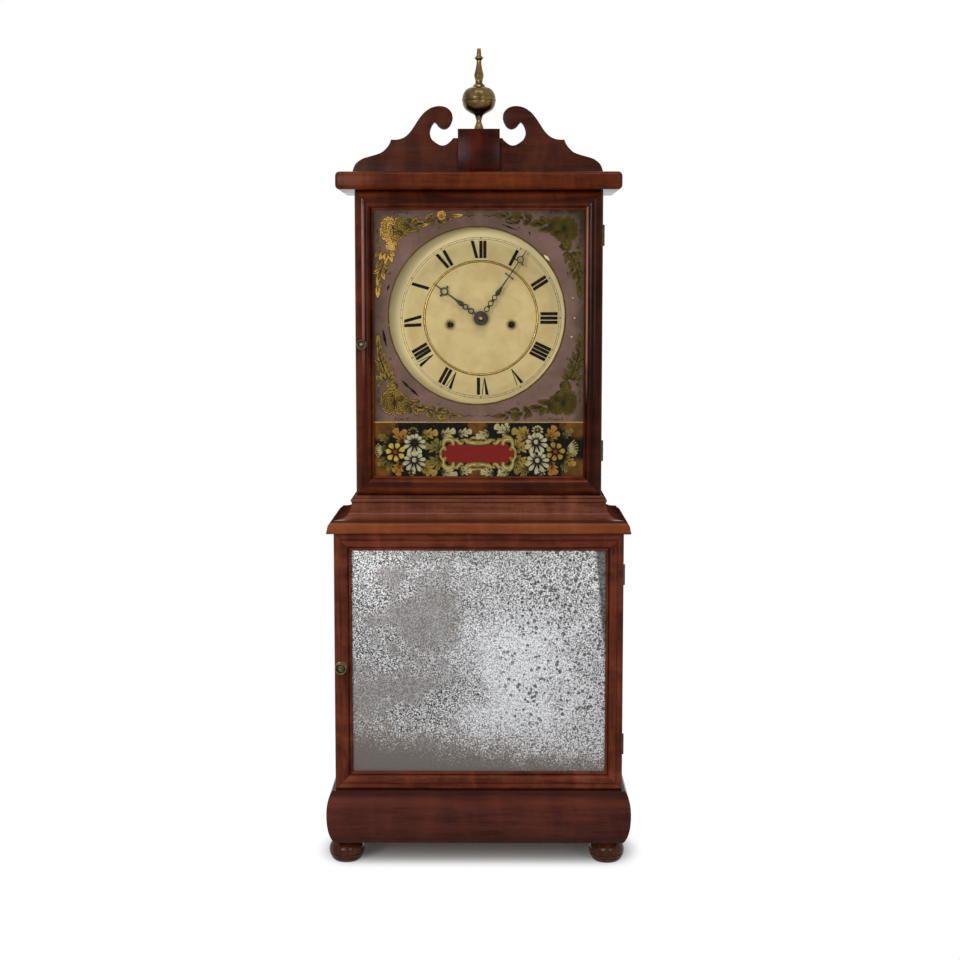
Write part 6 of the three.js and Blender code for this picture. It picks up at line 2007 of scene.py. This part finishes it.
def make_works():
    """The movement, bell, pendulum and weights, dressed as the solids have them."""
    for node in (
        "movement_front_plate", "movement_back_plate", "centre_wheel", "third_wheel", "escape_wheel",
        "minute_wheel",
    ):
        ease_down(node, "brass_works", angle=30)
    # The ends of the winding squares take near-black steel: painted shade inside the winding holes
    for node in ("time_great_wheel", "strike_great_wheel"):
        wheel = eased(node, "brass_works", angle=30)
        wheel.data.materials.append(finishes["winding_hole_shade_steel"])
        for face in wheel.data.polygons:
            if face.center.y < (DIAL_FACE + DARK_DEPTH) * MM:
                face.material_index = 1
        set_down(wheel, body_of_node(node), node)
    ease_down("pallets", "steel_works", angle=30)
    ease_down("hammer", "steel_works", angle=40)
    ease_down("bell", "bell_metal", angle=40)
    ease_down("pendulum", "brass_works", angle=40)
    for name in ("time", "strike"):
        ease_down(name + "_weight", "iron_cast", angle=40)
        gut_line(name)


# The radius of a weight's line, and the count of its sides
LINE_RADIUS, LINE_SIDES = 0.7, 10
# The inset of the line's middle from its solid's ends in depth, and the height where it meets the pulley
LINE_INSET, PULLEY_Z = 0.8, 360.0


def gut_line(name):
    """The weight's line: straight down, round its pulley and up."""
    node = name + "_line"
    x, y = centre_of(node, X), centre_of(node, Y)
    near, far = reach(node, Y, LOW) + LINE_INSET, reach(node, Y, HIGH) - LINE_INSET
    top, span = reach(node, Z, HIGH), (far - near) / 2
    path = [(near, top + (PULLEY_Z - top) * i / 24) for i in range(25)]
    path += [(y - span * math.cos(math.pi * i / 16), PULLEY_Z - span * math.sin(math.pi * i / 16))
             for i in range(1, 17)]
    path += [(far, PULLEY_Z + (top - PULLEY_Z) * i / 24) for i in range(1, 25)]
    around = [(LINE_RADIUS * math.cos(TURN * k / LINE_SIDES), LINE_RADIUS * math.sin(TURN * k / LINE_SIDES))
              for k in range(LINE_SIDES)]
    rings = []
    for i, (py, pz) in enumerate(path):
        ay, az = path[max(i - 1, 0)]
        by, bz = path[min(i + 1, len(path) - 1)]
        size = math.hypot(by - ay, bz - az)
        ny, nz = -(bz - az) / size, (by - ay) / size
        rings.append([(x + across, py + ny * out, pz + nz * out) for across, out in around])
    tube = loft(node + "_gut", rings, "gut_line", 60)
    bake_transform(tube)
    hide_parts(node)


make_finishes()
studio()
make_base()
make_waist()
make_crest()
make_finial()
make_feet()
make_back()
make_boards()
make_frames()
make_knobs()
make_hinges()
make_panes()
make_tablet()
make_mask()
make_dial()
make_hands()
make_works()
